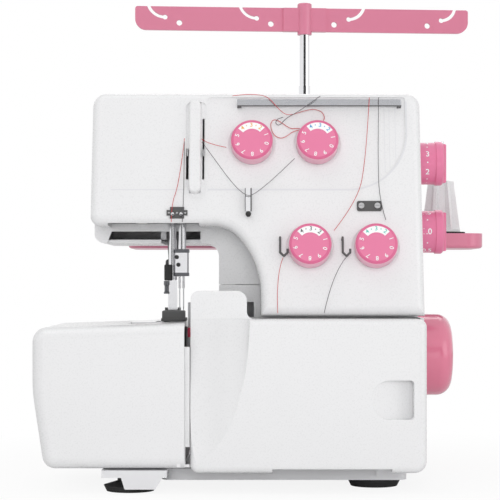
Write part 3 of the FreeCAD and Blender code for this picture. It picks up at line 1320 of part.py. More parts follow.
# Tension dials on fixed posts, with a pair of discs behind the panel wall
posts, discs = [], []
for dial_name, (dial_x, dial_z) in DIALS.items():
    seat_out = -DIAL_SEAT_DEPTH - (RECESS_DEPTH if dial_z > RECESS_BOTTOM else 0.0)
    dial = rod(DIAL_RADIUS, V(0, 0, DIAL_GAP), V(0, 0, DIAL_GAP + DIAL_HEIGHT))
    dial_top = DIAL_GAP + DIAL_HEIGHT
    crown_edges = edges_where(dial, lambda p: abs(p.z - dial_top) < 1e-4)
    dial = dial.makeFillet(DIAL_ROUND, crown_edges)
    dial = dial.cut(rod(POST_RADIUS + RUNNING, V(0, 0, 0), V(0, 0, dial_top - DIAL_WALL)))
    save(dial_name, lean_with_panel(dial, dial_x, dial_z, seat_out))
    wall_back = -WALL - seat_out
    post_pin = rod(POST_RADIUS, V(0, 0, wall_back - POST_TAIL), V(0, 0, dial_top - DIAL_WALL - MOVE_GAP))
    flange = rod(POST_FLANGE_RADIUS, V(0, 0, wall_back - SEAT - POST_FLANGE), V(0, 0, wall_back - SEAT))
    posts.append(lean_with_panel(fuse(post_pin, flange), dial_x, dial_z, seat_out))
    disc_start = wall_back - POST_FLANGE - 2 * DISC_PITCH
    for i in range(2):
        low = disc_start - i * DISC_PITCH
        disc = ring(DISC_RADIUS, POST_RADIUS + SEAT, V(0, 0, low - DISC_THICK), V(0, 0, low))
        discs.append(lean_with_panel(disc, dial_x, dial_z, seat_out))
save("tension_posts", *posts)
save("tension_discs", *discs)

# Stitch length and differential feed dials: drum, flange and a grip bar on the outer face
SIDE_DIAL_GAP = 1.2
DRUM_RADIUS = 15.6
DRUM_LONG = 14.0
FLANGE_RADIUS = 16.4
FLANGE_LONG = 6.0
GRIP_BAR_HALF = 3.0
GRIP_BAR_PROUD = 2.6
SIDE_SHAFT_TAIL = 10.0
side_dials = {"stitch_length_dial": STITCH_DIAL_Z, "differential_feed_dial": FEED_DIAL_Z}
for dial_name, dial_z in side_dials.items():
    drum_start = BODY_RIGHT + SIDE_DIAL_GAP
    flange_start = drum_start + DRUM_LONG
    face = flange_start + FLANGE_LONG
    axis_point = V(0, SIDE_DIAL_Y, dial_z)
    drum = rod(DRUM_RADIUS, axis_point + V(drum_start, 0, 0), axis_point + V(flange_start, 0, 0))
    flange = rod(FLANGE_RADIUS, axis_point + V(flange_start, 0, 0), axis_point + V(face, 0, 0))
    flange = flange.makeFillet(2.0, edges_where(flange, lambda p: abs(p.x - face) < 1e-4))
    grip = box(
        face - 2.5, face + GRIP_BAR_PROUD, SIDE_DIAL_Y - GRIP_BAR_HALF, SIDE_DIAL_Y + GRIP_BAR_HALF,
        dial_z - FLANGE_RADIUS + 2, dial_z + FLANGE_RADIUS - 2,
    )
    grip = grip.makeFillet(1.2, edges_where(grip, lambda p: abs(p.x - face - GRIP_BAR_PROUD) < 1e-4))
    stub = rod(
        SIDE_DIAL_SHAFT, axis_point + V(BODY_RIGHT - SIDE_SHAFT_TAIL, 0, 0),
        axis_point + V(drum_start + 1, 0, 0),
    )
    save(dial_name, fuse(drum, flange, grip, stub))

# Handwheel, main shaft and the belt drive
WHEEL_RADIUS = 31.0
WHEEL_GAP = 1.6
WHEEL_LONG = 29.0
WHEEL_ROUND = 11.0
WHEEL_REAR_ROUND = 3.0
SHAFT_LEFT = -37.0
SHAFT_INTO_WHEEL = 20.0
PULLEY_X = 74.0
BELT_WIDE = 9.0
PULLEY_RADIUS = 26.0
MOTOR_PULLEY_RADIUS = 9.0
MOTOR_Y = 18.0
MOTOR_Z = 45.0
BELT_THICK = 1.6
FLANGE_STEP = 3.0
wheel_start = BODY_RIGHT + WHEEL_GAP
wheel_face = wheel_start + WHEEL_LONG


def on_shaft(x):
    return V(x, SHAFT_Y, SHAFT_Z)


wheel = rod(WHEEL_RADIUS, on_shaft(wheel_start), on_shaft(wheel_face))
wheel = wheel.makeFillet(WHEEL_ROUND, edges_where(wheel, lambda p: abs(p.x - wheel_face) < 1e-4))
wheel = wheel.makeFillet(WHEEL_REAR_ROUND, edges_where(wheel, lambda p: abs(p.x - wheel_start) < 1e-4))
shaft_end = wheel_start + SHAFT_INTO_WHEEL
wheel = wheel.cut(rod(SHAFT_RADIUS + SEAT, on_shaft(wheel_start - 1), on_shaft(shaft_end + SEAT)))
save("handwheel", wheel)
save("main_shaft", rod(SHAFT_RADIUS, on_shaft(SHAFT_LEFT), on_shaft(shaft_end)))
bushes = []
for start in bush_spots:
    bushes.append(
        ring(SHAFT_RADIUS + BUSH_WALL, SHAFT_RADIUS + RUNNING, on_shaft(start), on_shaft(start + BUSH_LONG))
    )
bushes.append(
    ring(
        SHAFT_BOSS_RADIUS, SHAFT_RADIUS + RUNNING, on_shaft(BODY_RIGHT - 2 * WALL),
        on_shaft(BODY_RIGHT + WALL / 4),
    )
)
save("shaft_bushes", *bushes)


def pulley(radius, bore, centre):
    """Toothless belt pulley with a flange on each side."""
    half = BELT_WIDE / 2 + MOVE_GAP
    drum_part = rod(radius, centre - X_AXIS * half, centre + X_AXIS * half)
    rims = [
        rod(radius + FLANGE_STEP, centre + X_AXIS * start, centre + X_AXIS * (start + 1.2))
        for start in (-half - 1.2, half)
    ]
    return fuse(drum_part, *rims).cut(rod(bore, centre - X_AXIS * FAR, centre + X_AXIS * FAR))


motor_axis = V(0, MOTOR_Y, MOTOR_Z)
save("drive_pulley", pulley(PULLEY_RADIUS, SHAFT_RADIUS + SEAT, on_shaft(PULLEY_X)))


def belt_block(extra, half):
    """Convex loop round both pulleys, this much outside them."""
    big, small = PULLEY_RADIUS + extra, MOTOR_PULLEY_RADIUS + extra
    span = V(0, MOTOR_Y - SHAFT_Y, MOTOR_Z - SHAFT_Z)
    reach = math.acos((PULLEY_RADIUS - MOTOR_PULLEY_RADIUS) / span.Length)
    bearing = math.atan2(span.z, span.y)
    touch = []
    for turn in (bearing + reach, bearing - reach):
        side = V(0, math.cos(turn), math.sin(turn))
        touch.append((V(0, SHAFT_Y, SHAFT_Z) + side * big, V(0, MOTOR_Y, MOTOR_Z) + side * small))
    along = V(span)
    along.normalize()
    edges = [
        Part.LineSegment(touch[0][0], touch[0][1]).toShape(),
        Part.Arc(touch[0][1], V(0, MOTOR_Y, MOTOR_Z) + along * small, touch[1][1]).toShape(),
        Part.LineSegment(touch[1][1], touch[1][0]).toShape(),
        Part.Arc(touch[1][0], V(0, SHAFT_Y, SHAFT_Z) - along * big, touch[0][0]).toShape(),
    ]
    face = Part.Face(Part.Wire(edges))
    face.translate(V(PULLEY_X - half, 0, 0))
    return face.extrude(V(2 * half, 0, 0))


BELT_GAP = 0.1
belt = belt_block(BELT_GAP + BELT_THICK, BELT_WIDE / 2).cut(belt_block(BELT_GAP, BELT_WIDE))
save("timing_belt", belt)

MOTOR_RADIUS = 23.0
MOTOR_LEFT = 12.0
MOTOR_RIGHT = 62.0
MOTOR_SHAFT_RADIUS = 3.0
MOTOR_PULLEY_END = PULLEY_X + BELT_WIDE / 2 + 2.0
motor = rod(MOTOR_RADIUS, motor_axis + V(MOTOR_LEFT, 0, 0), motor_axis + V(MOTOR_RIGHT, 0, 0))
motor = motor.makeFillet(2.0, motor.Edges[0:1])
motor = motor.cut(
    rod(
        MOTOR_SHAFT_RADIUS + RUNNING, motor_axis + V(MOTOR_LEFT + 5, 0, 0),
        motor_axis + V(MOTOR_RIGHT + 1, 0, 0),
    )
)
save("motor", motor)
motor_shaft = rod(
    MOTOR_SHAFT_RADIUS, motor_axis + V(MOTOR_LEFT + 5 + MOVE_GAP, 0, 0),
    motor_axis + V(MOTOR_PULLEY_END + 2, 0, 0),
)
small_pulley = pulley(MOTOR_PULLEY_RADIUS, MOTOR_SHAFT_RADIUS / 2, motor_axis + V(PULLEY_X, 0, 0))
save("motor_pulley", fuse(small_pulley, motor_shaft))
cradle = box(
    MOTOR_LEFT + 6, MOTOR_RIGHT - 6, MOTOR_Y - MOTOR_RADIUS * 0.7, MOTOR_Y + MOTOR_RADIUS * 0.7,
    FRAME_FOOT, MOTOR_Z - MOTOR_RADIUS * 0.5,
)
cradle = cradle.cut(rod(MOTOR_RADIUS + SEAT, motor_axis, motor_axis + V(FAR, 0, 0)))
save("motor_bracket", cradle)

# Power inlet and rocker switch in the right wall
INLET_DEEP = 20.0
inlet_left, inlet_right = BODY_RIGHT - INLET_DEEP, BODY_RIGHT + 0.8
inlet = box(
    inlet_left, inlet_right, INLET_Y - INLET_WIDE / 2 + SEAT, INLET_Y + INLET_WIDE / 2 - SEAT,
    INLET_Z - INLET_HIGH / 2 + SEAT, INLET_Z + INLET_HIGH / 2 - SEAT,
)
INLET_LIP = 2.0
inlet = inlet.cut(
    box(
        inlet_left + 6, inlet_right + 1, INLET_Y - INLET_WIDE / 2 + INLET_LIP,
        INLET_Y + INLET_WIDE / 2 - INLET_LIP,
        INLET_Z - INLET_HIGH / 2 + INLET_LIP, INLET_Z + INLET_HIGH / 2 - INLET_LIP,
    )
)
INLET_PIN_RADIUS = 1.1
INLET_PIN_PITCH = 5.0
INLET_PIN_DROP = 2.0
inlet_pin_z = INLET_Z - INLET_PIN_DROP
for pin_y in (INLET_Y - INLET_PIN_PITCH, INLET_Y, INLET_Y + INLET_PIN_PITCH):
    inlet_pin = rod(
        INLET_PIN_RADIUS, V(inlet_left + 5, pin_y, inlet_pin_z), V(inlet_right - 4, pin_y, inlet_pin_z),
    )
    inlet = fuse(inlet, inlet_pin)
save("power_inlet", inlet)

SWITCH_TILT = 9.0
SWITCH_DEEP = 9.0
SWITCH_WALL = 1.6
frame_block = box(
    BODY_RIGHT - SWITCH_DEEP - 4, BODY_RIGHT + 0.8, INLET_Y - SWITCH_WIDE / 2 + SEAT,
    INLET_Y + SWITCH_WIDE / 2 - SEAT, SWITCH_Z - SWITCH_HIGH / 2 + SEAT, SWITCH_Z + SWITCH_HIGH / 2 - SEAT,
)
switch_room = box(
    BODY_RIGHT - SWITCH_DEEP - 2, BODY_RIGHT + 2, INLET_Y - SWITCH_WIDE / 2 + SWITCH_WALL,
    INLET_Y + SWITCH_WIDE / 2 - SWITCH_WALL, SWITCH_Z - SWITCH_HIGH / 2 + SWITCH_WALL,
    SWITCH_Z + SWITCH_HIGH / 2 - SWITCH_WALL,
)
switch_axis = V(BODY_RIGHT - 3.0, INLET_Y, SWITCH_Z)
pin_reach = SWITCH_WIDE / 2 - SWITCH_WALL / 2
switch_pin_bore = rod(
    SWITCH_PIN_RADIUS + RUNNING, switch_axis - Y_AXIS * (pin_reach + RUNNING),
    switch_axis + Y_AXIS * (pin_reach + RUNNING),
)
save("switch_frame", frame_block.cut(switch_room).cut(switch_pin_bore))
rocker_half_y = SWITCH_WIDE / 2 - SWITCH_WALL - MOVE_GAP
rocker_half_z = SWITCH_HIGH / 2 - SWITCH_WALL - 2 * MOVE_GAP
rocker_radius = math.hypot(rocker_half_z, 4.5)
rocker = rod(rocker_radius, switch_axis - Y_AXIS * rocker_half_y, switch_axis + Y_AXIS * rocker_half_y)
rocker = rocker.common(
    box(
        switch_axis.x - 3.4, switch_axis.x + 4.5, INLET_Y - FAR, INLET_Y + FAR,
        SWITCH_Z - rocker_half_z + 0.6, SWITCH_Z + rocker_half_z - 0.6,
    )
)
rocker = fuse(
    rocker, rod(SWITCH_PIN_RADIUS, switch_axis - Y_AXIS * pin_reach, switch_axis + Y_AXIS * pin_reach),
)
rocker.rotate(switch_axis, Y_AXIS, SWITCH_TILT)
save("power_switch", rocker)


# Spool tray behind the casing, with four spool stations
STAND_LEFT = -117.0
STAND_RIGHT = OVERALL_WIDE / 2
STAND_BACK = OVERALL_DEEP / 2
STAND_FRONT = 60.0
STAND_BOTTOM = 172.5
STAND_TOP = 184.5
STAND_FLOOR = 3.0
STAND_WALL = 2.4
STAND_CORNER = 14.0
STAND_ROUND = 2.5
TAB_HALF = 18.0
TAB_XS = (-60.0, 62.0)
SPOOL_FIRST_X = -89.0
SPOOL_PITCH = 76.0
SPOOL_COUNT = 4
SPOOL_Y = 106.0
STATION_RADIUS = 14.0
STATION_TOP = 183.0
PAD_RADIUS = 20.0
PAD_THICK = 3.6
PIN_RADIUS = 2.75
PIN_FOOT_RADIUS = 3.0
PIN_TOP = 262.0
PIN_ROUND = 1.5
HOLDER_LOW_RADIUS = 16.0
HOLDER_TOP_RADIUS = 10.5
HOLDER_HIGH = 42.0
HOLDER_BORE = PIN_FOOT_RADIUS + MOVE_GAP
HOLDER_FINS = 6
HOLDER_FIN_HALF = 1.1
HOLDER_CORE_LOW = 9.0
HOLDER_CORE_TOP = 6.5
ANTENNA_X = 25.4
ANTENNA_Y = 76.0
ANTENNA_BOSS_RADIUS = 8.0
ANTENNA_BOSS_TOP = 190.0
LOWER_TUBE_RADIUS = 4.6
LOWER_TUBE_TOP = 304.0
TUBE_SOLE = 1.0           # closed foot of the lower tube
POLE_RADIUS = 4.0
POLE_WALL = 0.8
POLE_CAP = 3.0
POLE_TOP = 366.0
HUB_BOTTOM = 345.5
ANTENNA_DOWN = HUB_BOTTOM - LOWER_TUBE_TOP - MOVE_GAP


def flat_block(x0, x1, y0, y1, z0, z1, radius):
    """Box with rounded upright edges."""
    return round_uprights(box(x0, x1, y0, y1, z0, z1), radius)


stand = flat_block(STAND_LEFT, STAND_RIGHT, STAND_FRONT, STAND_BACK, STAND_BOTTOM, STAND_TOP, STAND_CORNER)
stand = stand.makeFillet(STAND_ROUND, edges_where(stand, lambda p: abs(p.z - STAND_BOTTOM) < 1e-4))
stand = stand.cut(
    flat_block(
        STAND_LEFT + STAND_WALL, STAND_RIGHT - STAND_WALL, STAND_FRONT + STAND_WALL, STAND_BACK - STAND_WALL,
        STAND_BOTTOM + STAND_FLOOR, STAND_TOP + 1, STAND_CORNER - STAND_WALL,
    )
)
stand_floor = STAND_BOTTOM + STAND_FLOOR
spool_xs = [SPOOL_FIRST_X + SPOOL_PITCH * i for i in range(SPOOL_COUNT)]
stations = [
    rod(STATION_RADIUS, V(x, SPOOL_Y, stand_floor - 1), V(x, SPOOL_Y, STATION_TOP)) for x in spool_xs
]
antenna_boss = rod(
    ANTENNA_BOSS_RADIUS, V(ANTENNA_X, ANTENNA_Y, stand_floor - 1), V(ANTENNA_X, ANTENNA_Y, ANTENNA_BOSS_TOP),
)
tabs = [
    box(
        x - TAB_HALF, x + TAB_HALF, BACK_Y + SEAT, STAND_FRONT + STAND_CORNER / 2, STAND_BOTTOM + 0.4,
        stand_floor,
    )
    for x in TAB_XS
]
stand = fuse(stand, antenna_boss, *stations, *tabs)
for x in spool_xs:
    bore = rod(PIN_FOOT_RADIUS + SEAT, V(x, SPOOL_Y, stand_floor), V(x, SPOOL_Y, STATION_TOP + 1))
    stand = stand.cut(bore)
tube_seat = stand_floor
stand = stand.cut(
    rod(
        LOWER_TUBE_RADIUS + SEAT, V(ANTENNA_X, ANTENNA_Y, tube_seat),
        V(ANTENNA_X, ANTENNA_Y, ANTENNA_BOSS_TOP + 1),
    )
)
save("spool_tray", stand)

pins, pads, holders = [], [], []
pad_top = STATION_TOP + SEAT + PAD_THICK
holder_low = pad_top + SEAT
pin_step = holder_low + HOLDER_HIGH + MOVE_GAP
for x in spool_xs:
    foot = rod(PIN_FOOT_RADIUS, V(x, SPOOL_Y, stand_floor + SEAT), V(x, SPOOL_Y, pin_step))
    pin = rod(PIN_RADIUS, V(x, SPOOL_Y, pin_step), V(x, SPOOL_Y, PIN_TOP))
    pin = pin.makeFillet(PIN_ROUND, edges_where(pin, lambda p: abs(p.z - PIN_TOP) < 1e-4))
    pins.append(fuse(foot, pin))
    pads.append(ring(PAD_RADIUS, HOLDER_BORE, V(x, SPOOL_Y, STATION_TOP + SEAT), V(x, SPOOL_Y, pad_top)))
    outer = Part.makeCone(
        HOLDER_LOW_RADIUS, HOLDER_TOP_RADIUS, HOLDER_HIGH, V(x, SPOOL_Y, holder_low), Z_AXIS,
    )
    core = Part.makeCone(HOLDER_CORE_LOW, HOLDER_CORE_TOP, HOLDER_HIGH, V(x, SPOOL_Y, holder_low), Z_AXIS)
    disc = rod(HOLDER_LOW_RADIUS, V(x, SPOOL_Y, holder_low), V(x, SPOOL_Y, holder_low + 2.0))
    fins = []
    for i in range(HOLDER_FINS // 2):
        fin = box(-FAR, FAR, -HOLDER_FIN_HALF, HOLDER_FIN_HALF, holder_low, holder_low + HOLDER_HIGH)
        fin.rotate(V(0, 0, 0), Z_AXIS, 360 / HOLDER_FINS * i)
        fin.translate(V(x, SPOOL_Y, 0))
        fins.append(fin.common(outer))
    holder = fuse(core, disc, *fins)
    holder = holder.cut(
        rod(HOLDER_BORE, V(x, SPOOL_Y, holder_low - 1), V(x, SPOOL_Y, holder_low + HOLDER_HIGH + 1))
    )
    holders.append(holder)
save("spool_pins", *pins)
save("spool_pads", *pads)
save("cone_holders", *holders)

# Telescopic antenna and its thread guide bar
pole_axis = V(ANTENNA_X, ANTENNA_Y, 0)
lower_tube = rod(
    LOWER_TUBE_RADIUS, pole_axis + V(0, 0, tube_seat + SEAT), pole_axis + V(0, 0, LOWER_TUBE_TOP),
)
lower_tube = lower_tube.cut(
    rod(
        POLE_RADIUS + RUNNING, pole_axis + V(0, 0, tube_seat + TUBE_SOLE),
        pole_axis + V(0, 0, LOWER_TUBE_TOP + 1),
    )
)
save("antenna_lower_tube", lower_tube)
pole_low = tube_seat + TUBE_SOLE + ANTENNA_DOWN + MOVE_GAP
pole = rod(POLE_RADIUS, pole_axis + V(0, 0, pole_low), pole_axis + V(0, 0, POLE_TOP))
pole = pole.cut(
    rod(POLE_RADIUS - POLE_WALL, pole_axis + V(0, 0, pole_low - 1), pole_axis + V(0, 0, POLE_TOP - POLE_CAP))
)
save("antenna_pole", pole)

GUIDE_LEFT = 137.0        # reach of the guide bar to each side of the pole
GUIDE_RIGHT = 134.0
GUIDE_BOTTOM = 348.0
GUIDE_TOP = 367.0
GUIDE_THICK = 3.0
GUIDE_END_ROUND = 9.0
GUIDE_YAW = 5.0           # degrees, left end towards the user
GUIDE_MIDDLE_HALF = 17.5  # thicker middle of the bar
GUIDE_MIDDLE_THICK = 6.0
HUB_RADIUS = 5.8
HUB_TOP = 371.0
HUB_ROUND = 1.5
SLOT_HALF = 1.3           # half width of a slot
SLOT_EYE = 2.0
SLOT_EYES = (-113.0, -39.0, 36.0, 112.0)
SLOT_MOUTHS = (-126.0, -52.0, 48.0, 123.0)
SLOT_EYE_DROP = 8.5       # eye below the bar's top edge
GUIDE_HOLES = (-101.5, -27.5, 24.0, 100.5)
GUIDE_HOLE_RADIUS = 2.3
GUIDE_HOLE_DROP = 13.0


def curved_slot(eye_x, mouth_x, eye_z):
    """Cutter along an arc that leaves the eye level and rises to the mouth in the top edge."""
    run = mouth_x - eye_x
    drop = GUIDE_TOP - eye_z
    radius = (run * run + drop * drop) / (2 * drop)
    centre = V(eye_x, -FAR, eye_z + radius)
    whole = ring(radius + SLOT_HALF, radius - SLOT_HALF, centre, centre + V(0, 2 * FAR, 0))
    left, right = (mouth_x - 2 * SLOT_HALF, eye_x) if run < 0 else (eye_x, mouth_x + 2 * SLOT_HALF)
    return whole.common(box(left, right, -FAR, FAR, eye_z - SLOT_EYE, GUIDE_TOP + 1))


guide = slab(
    [
        (-GUIDE_LEFT, GUIDE_BOTTOM, GUIDE_END_ROUND), (GUIDE_RIGHT, GUIDE_BOTTOM, GUIDE_END_ROUND),
        (GUIDE_RIGHT, GUIDE_TOP, 2.0), (-GUIDE_LEFT, GUIDE_TOP, 2.0),
    ],
    -GUIDE_THICK / 2, GUIDE_THICK / 2,
)
middle = box(
    -GUIDE_MIDDLE_HALF, GUIDE_MIDDLE_HALF, -GUIDE_MIDDLE_THICK / 2, GUIDE_MIDDLE_THICK / 2,
    GUIDE_BOTTOM, GUIDE_TOP,
)
hub = rod(HUB_RADIUS, V(0, 0, HUB_BOTTOM), V(0, 0, HUB_TOP))
hub = hub.makeFillet(HUB_ROUND, edges_where(hub, lambda p: abs(p.z - HUB_TOP) < 1e-4))
guide = fuse(guide, middle, hub)
for eye_x, mouth_x in zip(SLOT_EYES, SLOT_MOUTHS):
    eye_point = V(eye_x, -FAR, GUIDE_TOP - SLOT_EYE_DROP)
    guide = guide.cut(rod(SLOT_EYE, eye_point, eye_point + V(0, 2 * FAR, 0)))
    guide = guide.cut(curved_slot(eye_x, mouth_x, eye_point.z))
for hole_x in GUIDE_HOLES:
    hole_point = V(hole_x, -FAR, GUIDE_TOP - GUIDE_HOLE_DROP)
    guide = guide.cut(rod(GUIDE_HOLE_RADIUS, hole_point, hole_point + V(0, 2 * FAR, 0)))
guide = guide.cut(rod(POLE_RADIUS + RUNNING, V(0, 0, HUB_BOTTOM - 1), V(0, 0, POLE_TOP + RUNNING)))
guide.rotate(V(0, 0, 0), Z_AXIS, GUIDE_YAW)
guide.translate(pole_axis)
save("antenna_guide_bar", guide)


# Thread guides on the front panel
TOP_BAR_LEFT = -28.0
TOP_BAR_RIGHT = 90.0
TOP_BAR_DROP = 5.5        # bar below the top of the recess
TOP_BAR_Z = RECESS_TOP - TOP_BAR_DROP
TOP_BAR_HIGH = 4.6
TOP_BAR_THICK = 2.4
TOP_BAR_STAND = 4.0       # gap between bar and recessed panel
LEG_WIDE = 3.0

bar_low_out = TOP_BAR_STAND - RECESS_DEPTH
bar_half = (TOP_BAR_RIGHT - TOP_BAR_LEFT) / 2
bar_centre = (TOP_BAR_RIGHT + TOP_BAR_LEFT) / 2
top_bar = box(
    -bar_half, bar_half, -TOP_BAR_HIGH / 2, TOP_BAR_HIGH / 2, bar_low_out, bar_low_out + TOP_BAR_THICK,
)
for leg_x in (-bar_half, bar_half - LEG_WIDE):
    leg = box(leg_x, leg_x + LEG_WIDE, -TOP_BAR_HIGH / 2, TOP_BAR_HIGH / 2, SEAT - RECESS_DEPTH, bar_low_out)
    top_bar = fuse(top_bar, leg)
end_edges = edges_where(top_bar, lambda p: abs(abs(p.x) - bar_half) < 1e-4 and p.z > bar_low_out + 0.1)
top_bar = top_bar.makeFillet(0.8, [e for e in end_edges if e.BoundBox.YLength > 2])
save("thread_guide_bar", lean_with_panel(top_bar, bar_centre, TOP_BAR_Z))

CLIP_THICK = 1.1
NEEDLE_CLIP_X = -70.6
NEEDLE_CLIP_Z = 194.6
NEEDLE_CLIP_WIDE = 10.0
NEEDLE_CLIP_HIGH = 8.4
CLIP_LUG = 2.4
CLIP_HOLE = 0.8


def flat_plate(wide, high, thick, low=SEAT):
    """Plate centred on the panel point, lying on the panel."""
    return box(-wide / 2, wide / 2, -high / 2, high / 2, low, low + thick)


needle_clip = fuse(
    flat_plate(NEEDLE_CLIP_WIDE, NEEDLE_CLIP_HIGH, CLIP_THICK),
    flat_plate(NEEDLE_CLIP_WIDE + 2 * CLIP_LUG, NEEDLE_CLIP_HIGH * 0.45, CLIP_THICK),
)
for hole_x in (-NEEDLE_CLIP_WIDE / 2 - CLIP_LUG / 3, NEEDLE_CLIP_WIDE / 2 + CLIP_LUG / 3, 0):
    needle_clip = needle_clip.cut(rod(CLIP_HOLE, V(hole_x, 0, -1), V(hole_x, 0, 2 * CLIP_THICK)))
save("needle_thread_guide", lean_with_panel(needle_clip, NEEDLE_CLIP_X, NEEDLE_CLIP_Z))

LOOPER_CLIP_X = 66.0
LOOPER_CLIP_Z = 199.4
LOOPER_CLIP_WIDE = 17.8
LOOPER_CLIP_HIGH = 7.4
CLIP_CORNER = 1.6
CLIP_SCREW_PITCH = 11.4
CLIP_SCREW_HEAD = 2.1
CLIP_SCREW_PROUD = 1.0
looper_clip = flat_plate(LOOPER_CLIP_WIDE, LOOPER_CLIP_HIGH, CLIP_THICK)
looper_clip = round_uprights(looper_clip, CLIP_CORNER)
save("looper_thread_guide", lean_with_panel(looper_clip, LOOPER_CLIP_X, LOOPER_CLIP_Z))

POST_PLATE_X = -20.0
POST_PLATE_Z = 203.0
POST_PLATE_WIDE = 4.6
POST_PLATE_HIGH = 17.0
POST_STAND = 3.0
BALL_RADIUS = 2.0
stem = box(
    -POST_PLATE_WIDE / 2, POST_PLATE_WIDE / 2, POST_PLATE_HIGH / 2 - 4, POST_PLATE_HIGH / 2, SEAT,
    POST_STAND,
)
blade = flat_plate(POST_PLATE_WIDE, POST_PLATE_HIGH, CLIP_THICK, POST_STAND)
ball = Part.makeSphere(
    BALL_RADIUS, V(0, -POST_PLATE_HIGH / 2 - BALL_RADIUS - SEAT, POST_STAND + CLIP_THICK / 2),
)
post_pieces = [lean_with_panel(piece, POST_PLATE_X, POST_PLATE_Z) for piece in (fuse(stem, blade), ball)]
save("thread_guide_post", *post_pieces)

HOOK_WIRE = 0.8
HOOK_REACH = 6.0
HOOK_DROP = 11.0
HOOK_CURL = 2.6
HOOK_LEFT = 21.1          # first hook, left of its dial's centre
HOOK_LEFT_NEAR = 23.6     # second hook, the same way
HOOK_RISE = 5.5           # hooks above the dials' centres
HOOK_EYE_ACROSS = 2.0     # where a thread leaves its hook
HOOK_EYE_DROP = 15.0
HOOK_EYE_OUT = 9.0
HOOKS = (
    (DIALS["tension_dial_upper_looper"][0] - HOOK_LEFT, LOWER_DIAL_Z + HOOK_RISE),
    (DIALS["tension_dial_lower_looper"][0] - HOOK_LEFT_NEAR, LOWER_DIAL_Z + HOOK_RISE),
)


def chain(points, radius):
    """Wire of straight runs with round joints."""
    pieces = []
    for start, end in zip(points, points[1:]):
        pieces.append(rod(radius, start, end))
    for point in points[1:-1]:
        pieces.append(Part.makeSphere(radius, point))
    return fuse(*pieces)


hooks = []
for hook_x, hook_z in HOOKS:
    wire_points = [
        V(0, 0, SEAT), V(0, 0, HOOK_REACH), V(0, -HOOK_DROP, HOOK_REACH),
        V(HOOK_CURL, -HOOK_DROP - HOOK_CURL, HOOK_REACH), V(2 * HOOK_CURL, -HOOK_DROP, HOOK_REACH),
        V(2 * HOOK_CURL, -HOOK_DROP + HOOK_CURL, HOOK_REACH),
    ]
    hooks.append(lean_with_panel(chain(wire_points, HOOK_WIRE), hook_x, hook_z))
save("looper_thread_hooks", *hooks)

# Screws: two on the looper thread guide and four in the back of the casing
BACK_SCREW_INSET = 20.5   # screws from the casing's side walls
BACK_SCREW_DROP = 24.0    # upper screws below the casing's top
BACK_SCREW_RISE = 22.0    # lower screws above the head's floor
back_screw_xs = (HEAD_LEFT + BACK_SCREW_INSET, BODY_RIGHT - BACK_SCREW_INSET)
back_screw_zs = (HEAD_REAR_BOTTOM + BACK_SCREW_RISE, BODY_TOP - BACK_SCREW_DROP)
back_screws = [(x, z) for x in back_screw_xs for z in back_screw_zs]
BACK_SCREW_HEAD = 3.4
BACK_SCREW_PROUD = 1.8
CROSS_HALF = 0.5
screws = []
for side_sign in (-1, 1):
    head = rod(CLIP_SCREW_HEAD, V(0, 0, CLIP_THICK + 2 * SEAT), V(0, 0, CLIP_THICK + CLIP_SCREW_PROUD))
    head = head.cut(box(-FAR, FAR, -CROSS_HALF / 2, CROSS_HALF / 2, CLIP_THICK + CLIP_SCREW_PROUD / 2, FAR))
    screws.append(lean_with_panel(head, LOOPER_CLIP_X + side_sign * CLIP_SCREW_PITCH / 2, LOOPER_CLIP_Z))
for screw_x, screw_z in back_screws:
    face_y = BACK_Y + SEAT
    head = rod(BACK_SCREW_HEAD, V(screw_x, face_y, screw_z), V(screw_x, face_y + BACK_SCREW_PROUD, screw_z))
    for wide, high in ((CROSS_HALF, 2 * CROSS_HALF + 1.4), (2 * CROSS_HALF + 1.4, CROSS_HALF)):
        head = head.cut(
            box(
                screw_x - wide, screw_x + wide, face_y + BACK_SCREW_PROUD / 2, FAR, screw_z - high,
                screw_z + high,
            )
        )
    screws.append(head)
save("casing_screws", *screws)

# Sewing lamp beside the head block
LAMP_X = -97.0
LAMP_Y = -72.0
LAMP_RADIUS = 5.0
LAMP_LOW = 187.5
LAMP_HOLDER_LOW = 196.0
LAMP_HOLDER_HALF = 7.0
LAMP_HOLDER_DROP = 4.0    # holder's top below the arm's top
LAMP_ROUND = 3.0
holder_block = box(
    LAMP_X - LAMP_HOLDER_HALF, HEAD_BLOCK_LEFT - SEAT, LAMP_Y - LAMP_HOLDER_HALF, LAMP_Y + LAMP_HOLDER_HALF,
    LAMP_HOLDER_LOW, ARM_TOP - LAMP_HOLDER_DROP,
)
bulb = rod(LAMP_RADIUS, V(LAMP_X, LAMP_Y, LAMP_LOW), V(LAMP_X, LAMP_Y, LAMP_HOLDER_LOW - SEAT))
bulb = bulb.makeFillet(LAMP_ROUND, edges_where(bulb, lambda p: abs(p.z - LAMP_LOW) < 1e-4))
save("lamp", holder_block, bulb)


# Threads: taut between guides with a small arc at each, and loose ends in wide arcs
THREAD_RADIUS = 0.22
THREAD_BEND = 1.2
RUN_SHARE = 0.45          # most of a run that one arc may take up


